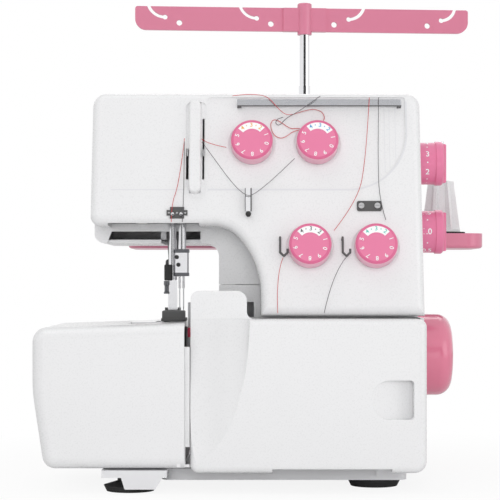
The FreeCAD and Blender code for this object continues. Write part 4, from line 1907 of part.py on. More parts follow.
def thread(points, bend=THREAD_BEND):
    """Tube along straight runs, with a tangent arc at each point between them."""
    edges = []
    radii = []
    last = points[0]
    for before, here, after in zip(points, points[1:], points[2:]):
        to_before = before - here
        to_after = after - here
        room = RUN_SHARE * min(to_before.Length, to_after.Length)
        to_before.normalize()
        to_after.normalize()
        half = to_before.getAngle(to_after) / 2
        set_back = min(bend / math.tan(half), room)
        bisector = to_before + to_after
        bisector.normalize()
        radius = set_back * math.tan(half)
        radii.append(radius)
        entry = here + to_before * set_back
        leave = here + to_after * set_back
        middle = here + bisector * (radius / math.sin(half) - radius)
        edges.append(Part.LineSegment(last, entry).toShape())
        edges.append(Part.Arc(entry, middle, leave).toShape())
        last = leave
    edges.append(Part.LineSegment(last, points[-1]).toShape())
    path = Part.Wire(edges)
    start_tangent = edges[0].tangentAt(edges[0].FirstParameter)
    profile = Part.Wire(Part.makeCircle(THREAD_RADIUS, points[0], start_tangent))
    tube = path.makePipeShell([profile], True, False)
    expected = math.pi * THREAD_RADIUS ** 2 * path.Length
    share = tube.Volume / expected
    print(f"thread: {path.Length:.0f} mm long, volume {share:.3f} of section times length")
    print("  radii", " ".join(f"{radius:.1f}" for radius in radii))
    return tube


def panel_route(*spots):
    """Route points given as x, z and distance out from the panel."""
    return [on_panel(x, z, out) for x, z, out in spots]


hook_eyes = [(x + HOOK_EYE_ACROSS, z - HOOK_EYE_DROP, HOOK_EYE_OUT) for x, z in HOOKS]


red_threads = [
    thread(
        panel_route(
            (67.0, 276.5, 6.4), (66.6, 271.5, 6.6), (63.6, 233.0, 3.0), (58.4, 203.8, 2.2),
            (40.6, 181.4, 2.4),
        )
    ),
    thread(panel_route((-35.8, 241.2, 3.0), (-49.4, 242.6, 6.2), (-53.4, 246.0, 7.2))),
    thread(
        panel_route(
            (-65.6, 246.4, 7.2), (-66.2, 240.0, 4.0), (-70.4, 211.5, 2.4), (-74.4, 200.6, 2.4),
            (-74.6, 187.5, 2.2),
        )
    ),
    thread(panel_route(hook_eyes[0], (-0.6, 150.0, 4.0), (0.6, 123.2, 3.0))),
]
grey_threads = [
    thread(
        panel_route(
            (73.6, 276.5, 6.4), (73.4, 271.5, 6.6), (72.6, 232.0, 3.2), (73.0, 203.8, 2.2),
            (77.4, 189.0, 2.2),
        )
    ),
    thread(
        panel_route(
            (13.0, 233.0, 3.0), (-13.4, 206.0, 5.6), (-24.6, 205.0, 5.6), (-49.6, 239.0, 6.4),
            (-53.0, 243.6, 7.4),
        )
    ),
    thread(panel_route((-65.6, 244.0, 7.6), (-65.7, 238.0, 4.0), (-66.0, 200.6, 2.4), (-66.8, 187.5, 2.2))),
    thread(panel_route(hook_eyes[1], (39.0, 150.0, 4.0), (33.0, 123.2, 3.0))),
]

# Loose ends that lie over the guide bar and on the recessed panel between the upper dials
red_loose = [
    (
        (32.5, 260.0, -0.7), (34.4, 262.0, -0.4), (35.0, 265.2, -0.4), (32.6, 268.6, 0.4), (26.4, 270.2, 0.8),
        (18.4, 268.4, 0.0), (8.4, 264.8, 1.0), (1.8, 268.2, 5.4), (-3.2, 274.2, 6.6), (-8.2, 278.0, 6.4),
        (-16.5, 279.0, 6.2), (-24.4, 278.8, 6.2), (-31.4, 277.8, 6.4),
    ),
    (
        (17.3, 256.0, -0.7), (14.2, 256.3, -0.6), (10.9, 255.9, -0.6), (7.2, 258.0, -0.6), (2.4, 261.6, -0.6),
        (-1.2, 263.0, -0.6), (-3.7, 260.9, -0.6), (-3.9, 257.2, -0.6), (-2.6, 253.0, -0.6), (0.2, 249.8, -0.6),
        (4.2, 248.8, -0.6), (8.4, 251.0, -0.6), (12.0, 254.0, -0.6), (16.2, 255.0, -0.7),
    ),
]
grey_loose = [
    (
        (31.7, 277.6, 6.4), (26.8, 274.2, 6.6), (21.4, 270.2, 6.2), (14.8, 266.6, 3.4), (8.6, 263.9, 1.4),
        (5.2, 261.2, 0.6), (3.4, 259.0, 0.4), (1.3, 258.1, 0.4), (-0.6, 259.9, 0.4), (0.4, 262.3, 0.4),
        (2.7, 263.4, 0.4), (5.0, 264.2, 0.4),
    ),
]
red_threads += [thread(panel_route(*route), FAR) for route in red_loose]
grey_threads += [thread(panel_route(*route), FAR) for route in grey_loose]
save("threads_red", *red_threads)
save("threads_grey", *grey_threads)
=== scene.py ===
"""Looks of a home overlock sewing machine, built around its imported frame.

The machine's sizes are in millimetres, and become metres when a mesh is made. The studio is in metres.
The frame is the part's own: +X to the user's right, +Y away from the user, +Z up.
"""

import json
import logging
import math
from collections.abc import Callable, Sequence
from dataclasses import dataclass, field
from enum import Enum

import bmesh
import bpy
import numpy as np
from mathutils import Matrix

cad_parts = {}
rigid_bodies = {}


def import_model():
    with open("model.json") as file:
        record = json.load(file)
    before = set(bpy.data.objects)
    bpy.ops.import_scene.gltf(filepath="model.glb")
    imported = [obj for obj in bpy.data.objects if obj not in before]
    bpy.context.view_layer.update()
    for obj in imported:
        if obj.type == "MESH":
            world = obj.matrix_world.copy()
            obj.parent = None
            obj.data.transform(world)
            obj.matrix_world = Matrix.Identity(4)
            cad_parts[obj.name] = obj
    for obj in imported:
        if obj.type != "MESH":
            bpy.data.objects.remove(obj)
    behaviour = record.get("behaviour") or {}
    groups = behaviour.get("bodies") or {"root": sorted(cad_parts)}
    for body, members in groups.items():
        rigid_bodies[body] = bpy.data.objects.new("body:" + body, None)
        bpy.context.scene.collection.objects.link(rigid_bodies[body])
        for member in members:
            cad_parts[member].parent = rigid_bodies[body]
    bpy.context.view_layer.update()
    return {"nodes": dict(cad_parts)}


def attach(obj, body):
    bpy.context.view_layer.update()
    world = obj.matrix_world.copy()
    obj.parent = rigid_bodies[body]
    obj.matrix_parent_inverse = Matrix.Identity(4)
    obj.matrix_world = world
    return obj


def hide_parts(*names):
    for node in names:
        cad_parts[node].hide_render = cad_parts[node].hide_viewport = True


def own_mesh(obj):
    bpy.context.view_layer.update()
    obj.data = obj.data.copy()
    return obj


LOG = logging.getLogger("overlock")
MM = 0.001
PROUD = 0.06              # print stands off the surface that carries it
WELD = 0.0001             # points closer than this are one point
BOLDER = 0.012            # digits are drawn bolder by this share of their size
ARC_STEP = 4              # degrees between the points of a printed ring
ARC_LEAST = 12            # fewest steps of a printed ring
OFF_AXIS = (0.3, 0.7, 0.2)  # a direction that no turned piece has as its axis
UPWARD = np.array((0.0, 0.0, 1.0))
BOX_CORNERS = np.stack(np.meshgrid((0, 1), (0, 1), (0, 1), indexing="ij"), -1).reshape(-1, 3)
BOX_FACES = np.array(((0, 1, 3, 2), (4, 6, 7, 5), (0, 4, 5, 1), (2, 3, 7, 6), (0, 2, 6, 4), (1, 5, 7, 3)))

Colour = tuple[float, float, float]
Point = tuple[float, float, float]
Span = tuple[float, float, float, float]
PointTest = Callable[[np.ndarray], np.ndarray]
Placing = Callable[[np.ndarray, np.ndarray], np.ndarray]


def srgb(red: int, green: int, blue: int) -> Colour:
    """Turns a colour of 0 to 255 per channel into linear light.

    Args:
        red: Red channel.
        green: Green channel.
        blue: Blue channel.

    Returns:
        The three channels, from 0 to 1.
    """
    share = np.array((red, green, blue)) / 255
    linear = np.where(share <= 0.04045, share / 12.92, ((share + 0.055) / 1.055) ** 2.4)
    return tuple(float(v) for v in linear)


class Body(Enum):
    """Moving bodies of the frame that carry added pieces."""

    MACHINE = "machine"
    LEFT_NEEDLE = "left_needle_dial"
    RIGHT_NEEDLE = "right_needle_dial"
    UPPER_LOOPER = "upper_looper_dial"
    LOWER_LOOPER = "lower_looper_dial"
    STITCH = "stitch_dial"
    FEED = "feed_dial"
    PRESSER = "presser"
    NEEDLES = "needle_carrier"


# Finishes

def grain_group() -> bpy.types.ShaderNodeTree:
    """Builds the shared grain once: a fine noise for sheen and relief over a coarse cloud of tone.

    Returns:
        The node group, with a varying colour, roughness and height.
    """
    tree = bpy.data.node_groups.get("moulded_grain")
    if tree:
        return tree
    tree = bpy.data.node_groups.new("moulded_grain", "ShaderNodeTree")
    for name, kind in (
        ("Vector", "NodeSocketVector"), ("Tone", "NodeSocketColor"), ("Grain Scale", "NodeSocketFloat"),
        ("Cloud Scale", "NodeSocketFloat"), ("Mottle", "NodeSocketFloat"),
        ("Roughness", "NodeSocketFloat"), ("Spread", "NodeSocketFloat"),
    ):
        tree.interface.new_socket(name, in_out="INPUT", socket_type=kind)
    for name, kind in (
        ("Colour", "NodeSocketColor"), ("Roughness", "NodeSocketFloat"), ("Height", "NodeSocketFloat"),
    ):
        tree.interface.new_socket(name, in_out="OUTPUT", socket_type=kind)
    ends = {kind: tree.nodes.new(kind) for kind in ("NodeGroupInput", "NodeGroupOutput")}
    given, made = ends["NodeGroupInput"].outputs, ends["NodeGroupOutput"].inputs
    noises = {}
    for scale, detail in (("Grain Scale", 3.0), ("Cloud Scale", 2.0)):
        noise = tree.nodes.new("ShaderNodeTexNoise")
        noise.inputs["Detail"].default_value = detail
        tree.links.new(given["Vector"], noise.inputs["Vector"])
        tree.links.new(given[scale], noise.inputs["Scale"])
        noises[scale] = noise.outputs["Fac"]

    def swing(noise: bpy.types.NodeSocket, reach: str, middle: float | str) -> bpy.types.NodeSocket:
        """Adds reach times the noise, counted from the noise's own middle, to a middle value.

        Args:
            noise: The noise, from 0 to 1.
            reach: Name of the input that says how far it swings.
            middle: The middle value, or the name of the input that gives it.

        Returns:
            The socket with the sum.
        """
        centred = tree.nodes.new("ShaderNodeMath")
        centred.operation = "SUBTRACT"
        centred.inputs[1].default_value = 0.5
        tree.links.new(noise, centred.inputs[0])
        spread = tree.nodes.new("ShaderNodeMath")
        spread.operation = "MULTIPLY_ADD"
        tree.links.new(centred.outputs[0], spread.inputs[0])
        tree.links.new(given[reach], spread.inputs[1])
        if isinstance(middle, str):
            tree.links.new(given[middle], spread.inputs[2])
        else:
            spread.inputs[2].default_value = middle
        return spread.outputs[0]

    shade = tree.nodes.new("ShaderNodeHueSaturation")
    tree.links.new(given["Tone"], shade.inputs["Color"])
    tree.links.new(swing(noises["Cloud Scale"], "Mottle", 1.0), shade.inputs["Value"])
    tree.links.new(shade.outputs["Color"], made["Colour"])
    tree.links.new(swing(noises["Grain Scale"], "Spread", "Roughness"), made["Roughness"])
    tree.links.new(noises["Grain Scale"], made["Height"])
    return tree


def new_material(name: str) -> bpy.types.Material:
    """Returns a new material with its nodes switched on."""
    material = bpy.data.materials.new(name)
    material.use_nodes = True
    return material


def set_inputs(node: bpy.types.Node, values: dict[str, float | Sequence[float]]) -> None:
    """Sets a node's inputs by their names."""
    for name, value in values.items():
        node.inputs[name].default_value = value


@dataclass(frozen=True)
class Look:
    """What every finish has: a name, a colour and one material."""

    name: str
    colour: Colour

    def material(self) -> bpy.types.Material:
        """Builds the material once.

        Returns:
            The material, the same one each time.
        """
        found = bpy.data.materials.get(self.name)
        if found:
            return found
        material = new_material(self.name)
        self.wire(material.node_tree)
        return material

    def wire(self, tree: bpy.types.ShaderNodeTree) -> None:
        """Joins the material's nodes, in each kind of finish's own way."""
        raise NotImplementedError


@dataclass(frozen=True)
class Finish(Look):
    """A solid finish: plastic, rubber, paint or metal.

    Scales count repeats per metre, relief is in millimetres, and stretch draws the grain out along
    one axis for brushed metal.
    """

    roughness: float
    metallic: float = 0.0
    coat: float = 0.0
    coat_roughness: float = 0.12
    grain_scale: float = 900.0
    cloud_scale: float = 14.0
    mottle: float = 0.05
    spread: float = 0.08
    relief: float = 0.02
    relief_strength: float = 0.4
    stretch: tuple[float, float, float] = (1.0, 1.0, 1.0)
    transmission: float = 0.0

    def wire(self, tree: bpy.types.ShaderNodeTree) -> None:
        """Lets the shared grain vary the colour and the sheen, and raise a fine relief.

        Args:
            tree: Node tree of the material.
        """
        nodes, links = tree.nodes, tree.links
        shader = nodes["Principled BSDF"]
        set_inputs(shader, {
            "Metallic": self.metallic, "Coat Weight": self.coat, "Coat Roughness": self.coat_roughness,
            "Transmission Weight": self.transmission,
        })
        place = nodes.new("ShaderNodeTexCoord")
        mapping = nodes.new("ShaderNodeMapping")
        set_inputs(mapping, {"Scale": self.stretch})
        links.new(place.outputs["Object"], mapping.inputs["Vector"])
        grain = nodes.new("ShaderNodeGroup")
        grain.node_tree = grain_group()
        links.new(mapping.outputs["Vector"], grain.inputs["Vector"])
        set_inputs(grain, {
            "Tone": (*self.colour, 1.0), "Grain Scale": self.grain_scale, "Cloud Scale": self.cloud_scale,
            "Mottle": self.mottle, "Roughness": self.roughness, "Spread": self.spread,
        })
        links.new(grain.outputs["Colour"], shader.inputs["Base Color"])
        links.new(grain.outputs["Roughness"], shader.inputs["Roughness"])
        bump = nodes.new("ShaderNodeBump")
        set_inputs(bump, {"Strength": self.relief_strength, "Distance": self.relief * MM})
        links.new(grain.outputs["Height"], bump.inputs["Height"])
        links.new(bump.outputs["Normal"], shader.inputs["Normal"])


@dataclass(frozen=True)
class YarnFinish(Look):
    """Spun sewing thread: a tone with a twist of light and dark round the strand."""

    dark: Colour
    turns: float = 60.0
    roughness: float = 0.75
    sheen: float = 0.3

    def wire(self, tree: bpy.types.ShaderNodeTree) -> None:
        """Winds bands of the two tones round the strand.

        Args:
            tree: Node tree of the material.
        """
        nodes, links = tree.nodes, tree.links
        shader = nodes["Principled BSDF"]
        set_inputs(shader, {"Roughness": self.roughness, "Sheen Weight": self.sheen})
        place = nodes.new("ShaderNodeTexCoord")
        wave = nodes.new("ShaderNodeTexWave")
        wave.bands_direction = "DIAGONAL"
        set_inputs(wave, {"Scale": self.turns})
        links.new(place.outputs["UV"], wave.inputs["Vector"])
        tone = nodes.new("ShaderNodeMix")
        tone.data_type = "RGBA"
        links.new(wave.outputs["Fac"], tone.inputs["Factor"])
        colours = [socket for socket in tone.inputs if socket.type == "RGBA"]
        colours[0].default_value = (*self.dark, 1.0)
        colours[1].default_value = (*self.colour, 1.0)
        links.new(next(s for s in tone.outputs if s.type == "RGBA"), shader.inputs["Base Color"])


CASING_WHITE = Finish("casing_white", srgb(233, 233, 234), 0.28, coat=0.3, mottle=0.012, relief=0.008)
LEG_WHITE = Finish("leg_white", srgb(226, 226, 228), 0.4, mottle=0.03)
# Painted shade: a grey a little darker than the casing, laid along the panel's recess edge, crease and
# grooves where shade falls.
PAINTED_SEAM_SHADE = Finish("painted_seam_shade", srgb(222, 222, 225), 0.6, mottle=0.04)
ANTENNA_PINK = Finish("antenna_pink", srgb(218, 130, 156), 0.3, coat=0.2, mottle=0.03)
DIAL_PINK = Finish("dial_pink", srgb(229, 126, 163), 0.36, coat=0.1, mottle=0.025)
DIAL_RING = Finish("dial_ring", srgb(219, 106, 147), 0.4, coat=0.1, mottle=0.04)
# Painted light: a paler copy of the dial pink, standing in for light falling on the dial walls.
PAINTED_LIGHT_DIAL_WALL = Finish("painted_light_dial_wall", srgb(236, 176, 196), 0.34, coat=0.15, mottle=0.03)
WHEEL_PINK = Finish("handwheel_pink", srgb(226, 125, 152), 0.18, coat=0.6, mottle=0.03, relief=0.005)
KNIFE_RED = Finish("knife_clamp_red", srgb(240, 72, 104), 0.4, mottle=0.06)
BASE_GREY = Finish("base_grey", srgb(240, 240, 242), 0.5, mottle=0.05)
BLACK_PLASTIC = Finish("black_plastic", srgb(30, 30, 32), 0.42, mottle=0.12)
BLACK_RUBBER = Finish("black_rubber", srgb(24, 24, 25), 0.75, mottle=0.2, grain_scale=500.0, relief=0.05)
CLAMP_GREY = Finish("clamp_grey", srgb(120, 121, 125), 0.35, metallic=0.9, mottle=0.1)
CAST_ALUMINIUM = Finish("cast_aluminium", srgb(186, 188, 192), 0.48, metallic=1.0, mottle=0.12, relief=0.06)
BRIGHT_STEEL = Finish(
    "bright_steel", srgb(196, 196, 200), 0.13, metallic=1.0, mottle=0.06, spread=0.1,
    stretch=(1.0, 1.0, 0.05),
)
BAR_STEEL = Finish(
    "bar_steel", srgb(184, 185, 189), 0.27, metallic=1.0, mottle=0.05, spread=0.06,
    stretch=(0.05, 1.0, 1.0),
)
GROUND_STEEL = Finish(
    "ground_steel", srgb(190, 191, 195), 0.34, metallic=1.0, mottle=0.08, spread=0.16,
    stretch=(1.0, 0.06, 1.0),
)
# Dark steel for the guides, presser foot, lever and lower knife; also used as painted shade on the guide
# bar's underside and at the post's edges.
DARK_STEEL_AND_PAINTED_SHADE = Finish("dark_steel", srgb(74, 75, 79), 0.38, metallic=0.85, mottle=0.14, spread=0.14)
BRONZE = Finish("bush_bronze", srgb(176, 134, 84), 0.4, metallic=1.0, mottle=0.15)
MOTOR_PAINT = Finish("motor_paint", srgb(58, 60, 64), 0.5, mottle=0.1)
LAMP_GLASS = Finish(
    "lamp_glass", srgb(248, 246, 238), 0.08, mottle=0.02, spread=0.03, relief=0.002, transmission=1.0,
)
PRINT_WHITE = Finish("print_white", srgb(250, 250, 250), 0.5, mottle=0.02)
PRINT_ORANGE = Finish("print_orange", srgb(240, 178, 84), 0.5, mottle=0.04)
PRINT_BLUE = Finish("print_blue", srgb(92, 164, 214), 0.5, mottle=0.04)
PRINT_GREY = Finish("print_grey", srgb(92, 92, 96), 0.5, mottle=0.04)
PRINT_TEAL = Finish("print_teal", srgb(84, 200, 184), 0.5, mottle=0.04)
RED_YARN = YarnFinish("red_yarn", srgb(222, 62, 66), srgb(176, 32, 40))
GREY_YARN = YarnFinish("grey_yarn", srgb(104, 100, 104), srgb(58, 56, 60))


# Shapes worked out as arrays

def link(name: str, data: bpy.types.ID) -> bpy.types.Object:
    """Puts a mesh, a curve, a light or a camera into a new object of the scene.

    Args:
        name: Name of the object.
        data: What it holds.

    Returns:
        The new object, at the origin.
    """
    thing = bpy.data.objects.new(name, data)
    bpy.context.scene.collection.objects.link(thing)
    return thing


def vectors(items: bpy.types.bpy_prop_collection, attribute: str) -> np.ndarray:
    """Reads one vector of each item in a single step.

    Args:
        items: Vertices or faces of a mesh.
        attribute: Name of the vector.

    Returns:
        Array of n by 3.
    """
    flat = np.empty(len(items) * 3)
    items.foreach_get(attribute, flat)
    return flat.reshape(-1, 3)


def add_mesh(name: str, points: np.ndarray, faces: Sequence[Sequence[int]]) -> bpy.types.Object:
    """Puts points in millimetres and their faces into a new object at the origin.

    Args:
        name: Name of the piece.
        points: Array of n by 3.
        faces: Corner numbers of each face, counter-clockwise seen from outside.

    Returns:
        The new object, linked into the scene.
    """
    mesh = bpy.data.meshes.new(name)
    mesh.from_pydata((points * MM).tolist(), [], [list(map(int, face)) for face in faces])
    welded = bmesh.new()
    welded.from_mesh(mesh)
    bmesh.ops.remove_doubles(welded, verts=welded.verts, dist=WELD * MM)
    welded.to_mesh(mesh)
    welded.free()
    return link(name, mesh)


def grid_faces(rows: int, columns: int, close_columns: bool = False) -> np.ndarray:
    """Numbers the quads of a grid of points kept row by row.

    Args:
        rows: Count of rows of points.
        columns: Count of points in a row.
        close_columns: Whether the last column joins the first.

    Returns:
        Array of four corner numbers for each quad.
    """
    row = np.arange(rows - 1)[:, None]
    column = np.arange(columns if close_columns else columns - 1)[None, :]
    next_row, next_column = row + 1, (column + 1) % columns
    corners = (
        row * columns + column, row * columns + next_column,
        next_row * columns + next_column, next_row * columns + column,
    )
    return np.stack(np.broadcast_arrays(*corners), -1).reshape(-1, 4)


def unit(vector: np.ndarray) -> np.ndarray:
    """Returns the vector at length one."""
    return vector / np.linalg.norm(vector)


@dataclass(frozen=True)
class Plane:
    """A flat place on the machine: its middle, its right and up directions, and the way it faces."""

    middle: np.ndarray
    right: np.ndarray
    up: np.ndarray

    @property
    def normal(self) -> np.ndarray:
        """The way the plane faces."""
        return np.cross(self.right, self.up)

    def at(self, across: np.ndarray, upward: np.ndarray, out: float | np.ndarray) -> np.ndarray:
        """Places flat coordinates: middle plus across, upward and out along the three directions.

        Args:
            across: Distances to the right.
            upward: Distances up.
            out: Distance off the plane.

        Returns:
            Array of points, with three numbers each.
        """
        across, upward, out = np.broadcast_arrays(across, upward, out)
        return (
            self.middle + across[..., None] * self.right + upward[..., None] * self.up
            + out[..., None] * self.normal
        )


@dataclass(frozen=True)
class FrontPanel:
    """The leaning front panel, as a place for prints and threads."""

    foot_y: float = -118.0
    foot_z: float = 121.8
    lean: float = 14.5

    def plane(self, x: float, z: float, out: float = 0.0) -> Plane:
        """Returns the plane that stands off the panel at a place.

        Args:
            x: Place to the right.
            z: Height on the panel's face.
            out: Distance off the face.

        Returns:
            The leaning plane.
        """
        slope = math.radians(self.lean)
        up = np.array((0.0, math.sin(slope), math.cos(slope)))
        middle = np.array((x, self.foot_y + (z - self.foot_z) * math.tan(slope), z))
        right = np.array((1.0, 0.0, 0.0))
        return Plane(middle + out * np.cross(right, up), right, up)

    @property
    def face(self) -> Plane:
        """The panel's whole face, counted from its foot."""
        return self.plane(0.0, self.foot_z)

    def rise(self, heights: np.ndarray | Sequence[float]) -> np.ndarray:
        """Turns heights on the face into distances up its slope."""
        return (np.asarray(heights, dtype=float) - self.foot_z) / math.cos(math.radians(self.lean))


def ring_sector(
    name: str, plane: Plane, inner: float, outer: float, start: float, end: float, out: float,
) -> bpy.types.Object:
    """Lays part of a flat ring on a plane: radius runs from inner to outer, angle from start to end.

    Args:
        name: Name of the piece.
        plane: Plane that carries it.
        inner: Inner radius.
        outer: Outer radius.
        start: First angle in degrees, counter-clockwise from the right.
        end: Last angle in degrees.
        out: Distance off the plane.

    Returns:
        The new object.
    """
    steps = max(ARC_LEAST, int(abs(end - start) / ARC_STEP))
    angle = np.radians(np.linspace(start, end, steps + 1))[:, None]
    radius = np.array((inner, outer))[None, :]
    points = plane.at(radius * np.cos(angle), radius * np.sin(angle), out).reshape(-1, 3)
    return add_mesh(name, points, grid_faces(steps + 1, 2)[:, ::-1])


def revolve(
    name: str, middle: np.ndarray, axis: np.ndarray, profile: np.ndarray, steps: int,
) -> bpy.types.Object:
    """Turns a profile of radius and height round an axis, with its end points on the axis.

    Args:
        name: Name of the piece.
        middle: Point on the axis at height zero.
        axis: Direction of the axis.
        profile: Array of radius and height, from one end to the other.
        steps: Count of steps round.

    Returns:
        The new object.
    """
    axis = unit(axis)
    side = unit(np.cross(axis, OFF_AXIS))
    other = np.cross(axis, side)
    turn = np.linspace(0, 2 * math.pi, steps, endpoint=False)[None, :, None]
    radius, height = profile[:, 0][:, None, None], profile[:, 1][:, None, None]
    points = middle + radius * (np.cos(turn) * side + np.sin(turn) * other) + height * axis
    faces = grid_faces(len(profile), steps, close_columns=True)
    return add_mesh(name, points.reshape(-1, 3), faces)


def slab(name: str, low: Sequence[float], high: Sequence[float], bevel: float) -> bpy.types.Object:
    """Builds a block between two corners, with its edges rounded by a bevel.

    Args:
        name: Name of the piece.
        low: Lowest corner.
        high: Highest corner.
        bevel: Width of the rounded edge.

    Returns:
        The new object.
    """
    block = add_mesh(name, np.where(BOX_CORNERS, high, low), BOX_FACES)
    round_off = block.modifiers.new("edge", "BEVEL")
    round_off.width = bevel * MM
    round_off.segments = 2
    return block


def ribbon(name: str, plane: Plane, path: np.ndarray, wide: float, out: float) -> bpy.types.Object:
    """Lays a flat strip along a path: each point is set off by half the width along the path's normal.

    Args:
        name: Name of the piece.
        plane: Plane that carries it.
        path: Array of distances across and up.
        wide: Width of the strip.
        out: Distance off the plane.

    Returns:
        The new object.
    """
    along = np.gradient(path, axis=0)
    along /= np.linalg.norm(along, axis=1, keepdims=True)
    aside = np.stack((-along[:, 1], along[:, 0]), -1) * wide / 2
    edges = np.stack((path - aside, path + aside), 1)
    points = plane.at(edges[..., 0], edges[..., 1], out).reshape(-1, 3)
    return add_mesh(name, points, grid_faces(len(path), 2))


def panel_blocks(name: str, plane: Plane, spans: np.ndarray, low: float, high: float) -> bpy.types.Object:
    """Builds blocks that stand on a plane, one for each span of left, right, bottom and top.

    Args:
        name: Name of the piece.
        plane: Plane that carries them.
        spans: Array of left, right, bottom and top for each block.
        low: Distance of their backs off the plane.
        high: Distance of their fronts off the plane.

    Returns:
        The new object.
    """
    side, end, depth = BOX_CORNERS.T
    points = plane.at(spans[:, 0:2][:, side], spans[:, 2:4][:, end], np.array((low, high))[depth])
    first = np.arange(len(spans))[:, None, None] * len(BOX_CORNERS)
    return add_mesh(name, points.reshape(-1, 3), (first + BOX_FACES).reshape(-1, 4))


def lettering(name: str, text: str, high: float, place: Placing) -> bpy.types.Object:
    """Makes a plain number a flat mesh, then lays it on a surface.

    Args:
        name: Name of the piece.
        text: The number.
        high: Height of a digit.
        place: Gives points for arrays of distance across and up from the number's middle.

    Returns:
        The new object.
    """
    font = bpy.data.curves.new(name, "FONT")
    font.body = text
    font.align_x = "CENTER"
    font.align_y = "CENTER"
    font.offset = BOLDER
    holder = link(name + "_flat", font)
    bpy.context.view_layer.update()
    flat = holder.evaluated_get(bpy.context.evaluated_depsgraph_get()).to_mesh()
    points = vectors(flat.vertices, "co")
    faces = [tuple(polygon.vertices) for polygon in flat.polygons]
    holder.to_mesh_clear()
    bpy.data.objects.remove(holder)
    bpy.data.curves.remove(font)
    spans = points.max(0) - points.min(0)
    points = (points - (points.max(0) + points.min(0)) / 2) * (high / spans[1])
    return add_mesh(name, place(points[:, 0], points[:, 1]), faces)


def strand(name: str, runs: Sequence[np.ndarray], radius: float) -> bpy.types.Object:
    """Draws threads as smooth curves of round section that follow their route points.

    Args:
        name: Name of the piece.
        runs: One array of points for each length of thread.
        radius: Radius of the thread.

    Returns:
        The new curve object.
    """
    curve = bpy.data.curves.new(name, "CURVE")
    curve.dimensions = "3D"
    curve.bevel_depth = radius * MM
    curve.bevel_resolution = 2
    curve.use_fill_caps = True
    for run in runs:
        spline = curve.splines.new("NURBS")
        spline.points.add(len(run) - 1)
        weighted = np.concatenate((run * MM, np.ones((len(run), 1))), 1)
        spline.points.foreach_set("co", weighted.ravel())
        spline.order_u = 3
        spline.use_endpoint_u = True
        spline.resolution_u = 8
    return link(name, curve)


def run_length(thread: bpy.types.Object) -> float:
    """Measures a curve along its line, without its section.

    Args:
        thread: The curve object.

    Returns:
        Its length in metres.
    """
    bare = thread.data.copy()
    bare.bevel_depth = 0.0
    holder = link(thread.name + "_line", bare)
    bpy.context.view_layer.update()
    line = bpy.data.meshes.new_from_object(holder.evaluated_get(bpy.context.evaluated_depsgraph_get()))
    points = vectors(line.vertices, "co")
    bpy.data.meshes.remove(line)
    bpy.data.objects.remove(holder)
    bpy.data.curves.remove(bare)
    return float(np.linalg.norm(np.diff(points, axis=0), axis=1).sum())


def settle(piece: bpy.types.Object, finish: Look, body: Body, smooth: bool = False) -> None:
    """Gives an added piece its finish and the body that carries it.

    Args:
        piece: The piece.
        finish: Its finish.
        body: The body that it moves with.
        smooth: Whether its faces are shaded round.
    """
    piece.data.materials.append(finish.material())
    if smooth:
        piece.data.polygons.foreach_set("use_smooth", np.ones(len(piece.data.polygons), dtype=bool))
    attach(piece, body.value)
    LOG.info("added %s on %s", piece.name, body.value)


@dataclass
class FrameDress:
    """Gives the frame's own solids their finishes."""

    nodes: dict[str, bpy.types.Object]

    def dress(self, finish: Finish, *names: str) -> None:
        """Puts one finish on whole nodes.

        Args:
            finish: The finish.
            names: Names of the nodes.
        """
        for name in names:
            mesh = self.nodes[name].data
            mesh.materials.clear()
            mesh.materials.append(finish.material())
            LOG.info("dressed %s in %s", name, finish.name)

    def patch(self, finish: Finish, name: str, inside: PointTest) -> None:
        """Puts a second finish on the faces of a node whose middles pass a test.

        Args:
            finish: The second finish.
            name: Name of the node.
            inside: Takes face middles in millimetres and says which are meant.
        """
        mesh = self.nodes[name].data
        marks = np.empty(len(mesh.polygons), dtype=np.int32)
        mesh.polygons.foreach_get("material_index", marks)
        mesh.materials.append(finish.material())
        marks[inside(vectors(mesh.polygons, "center") / MM)] = len(mesh.materials) - 1
        mesh.polygons.foreach_set("material_index", marks)
        mesh.update()


# Sub-assemblies

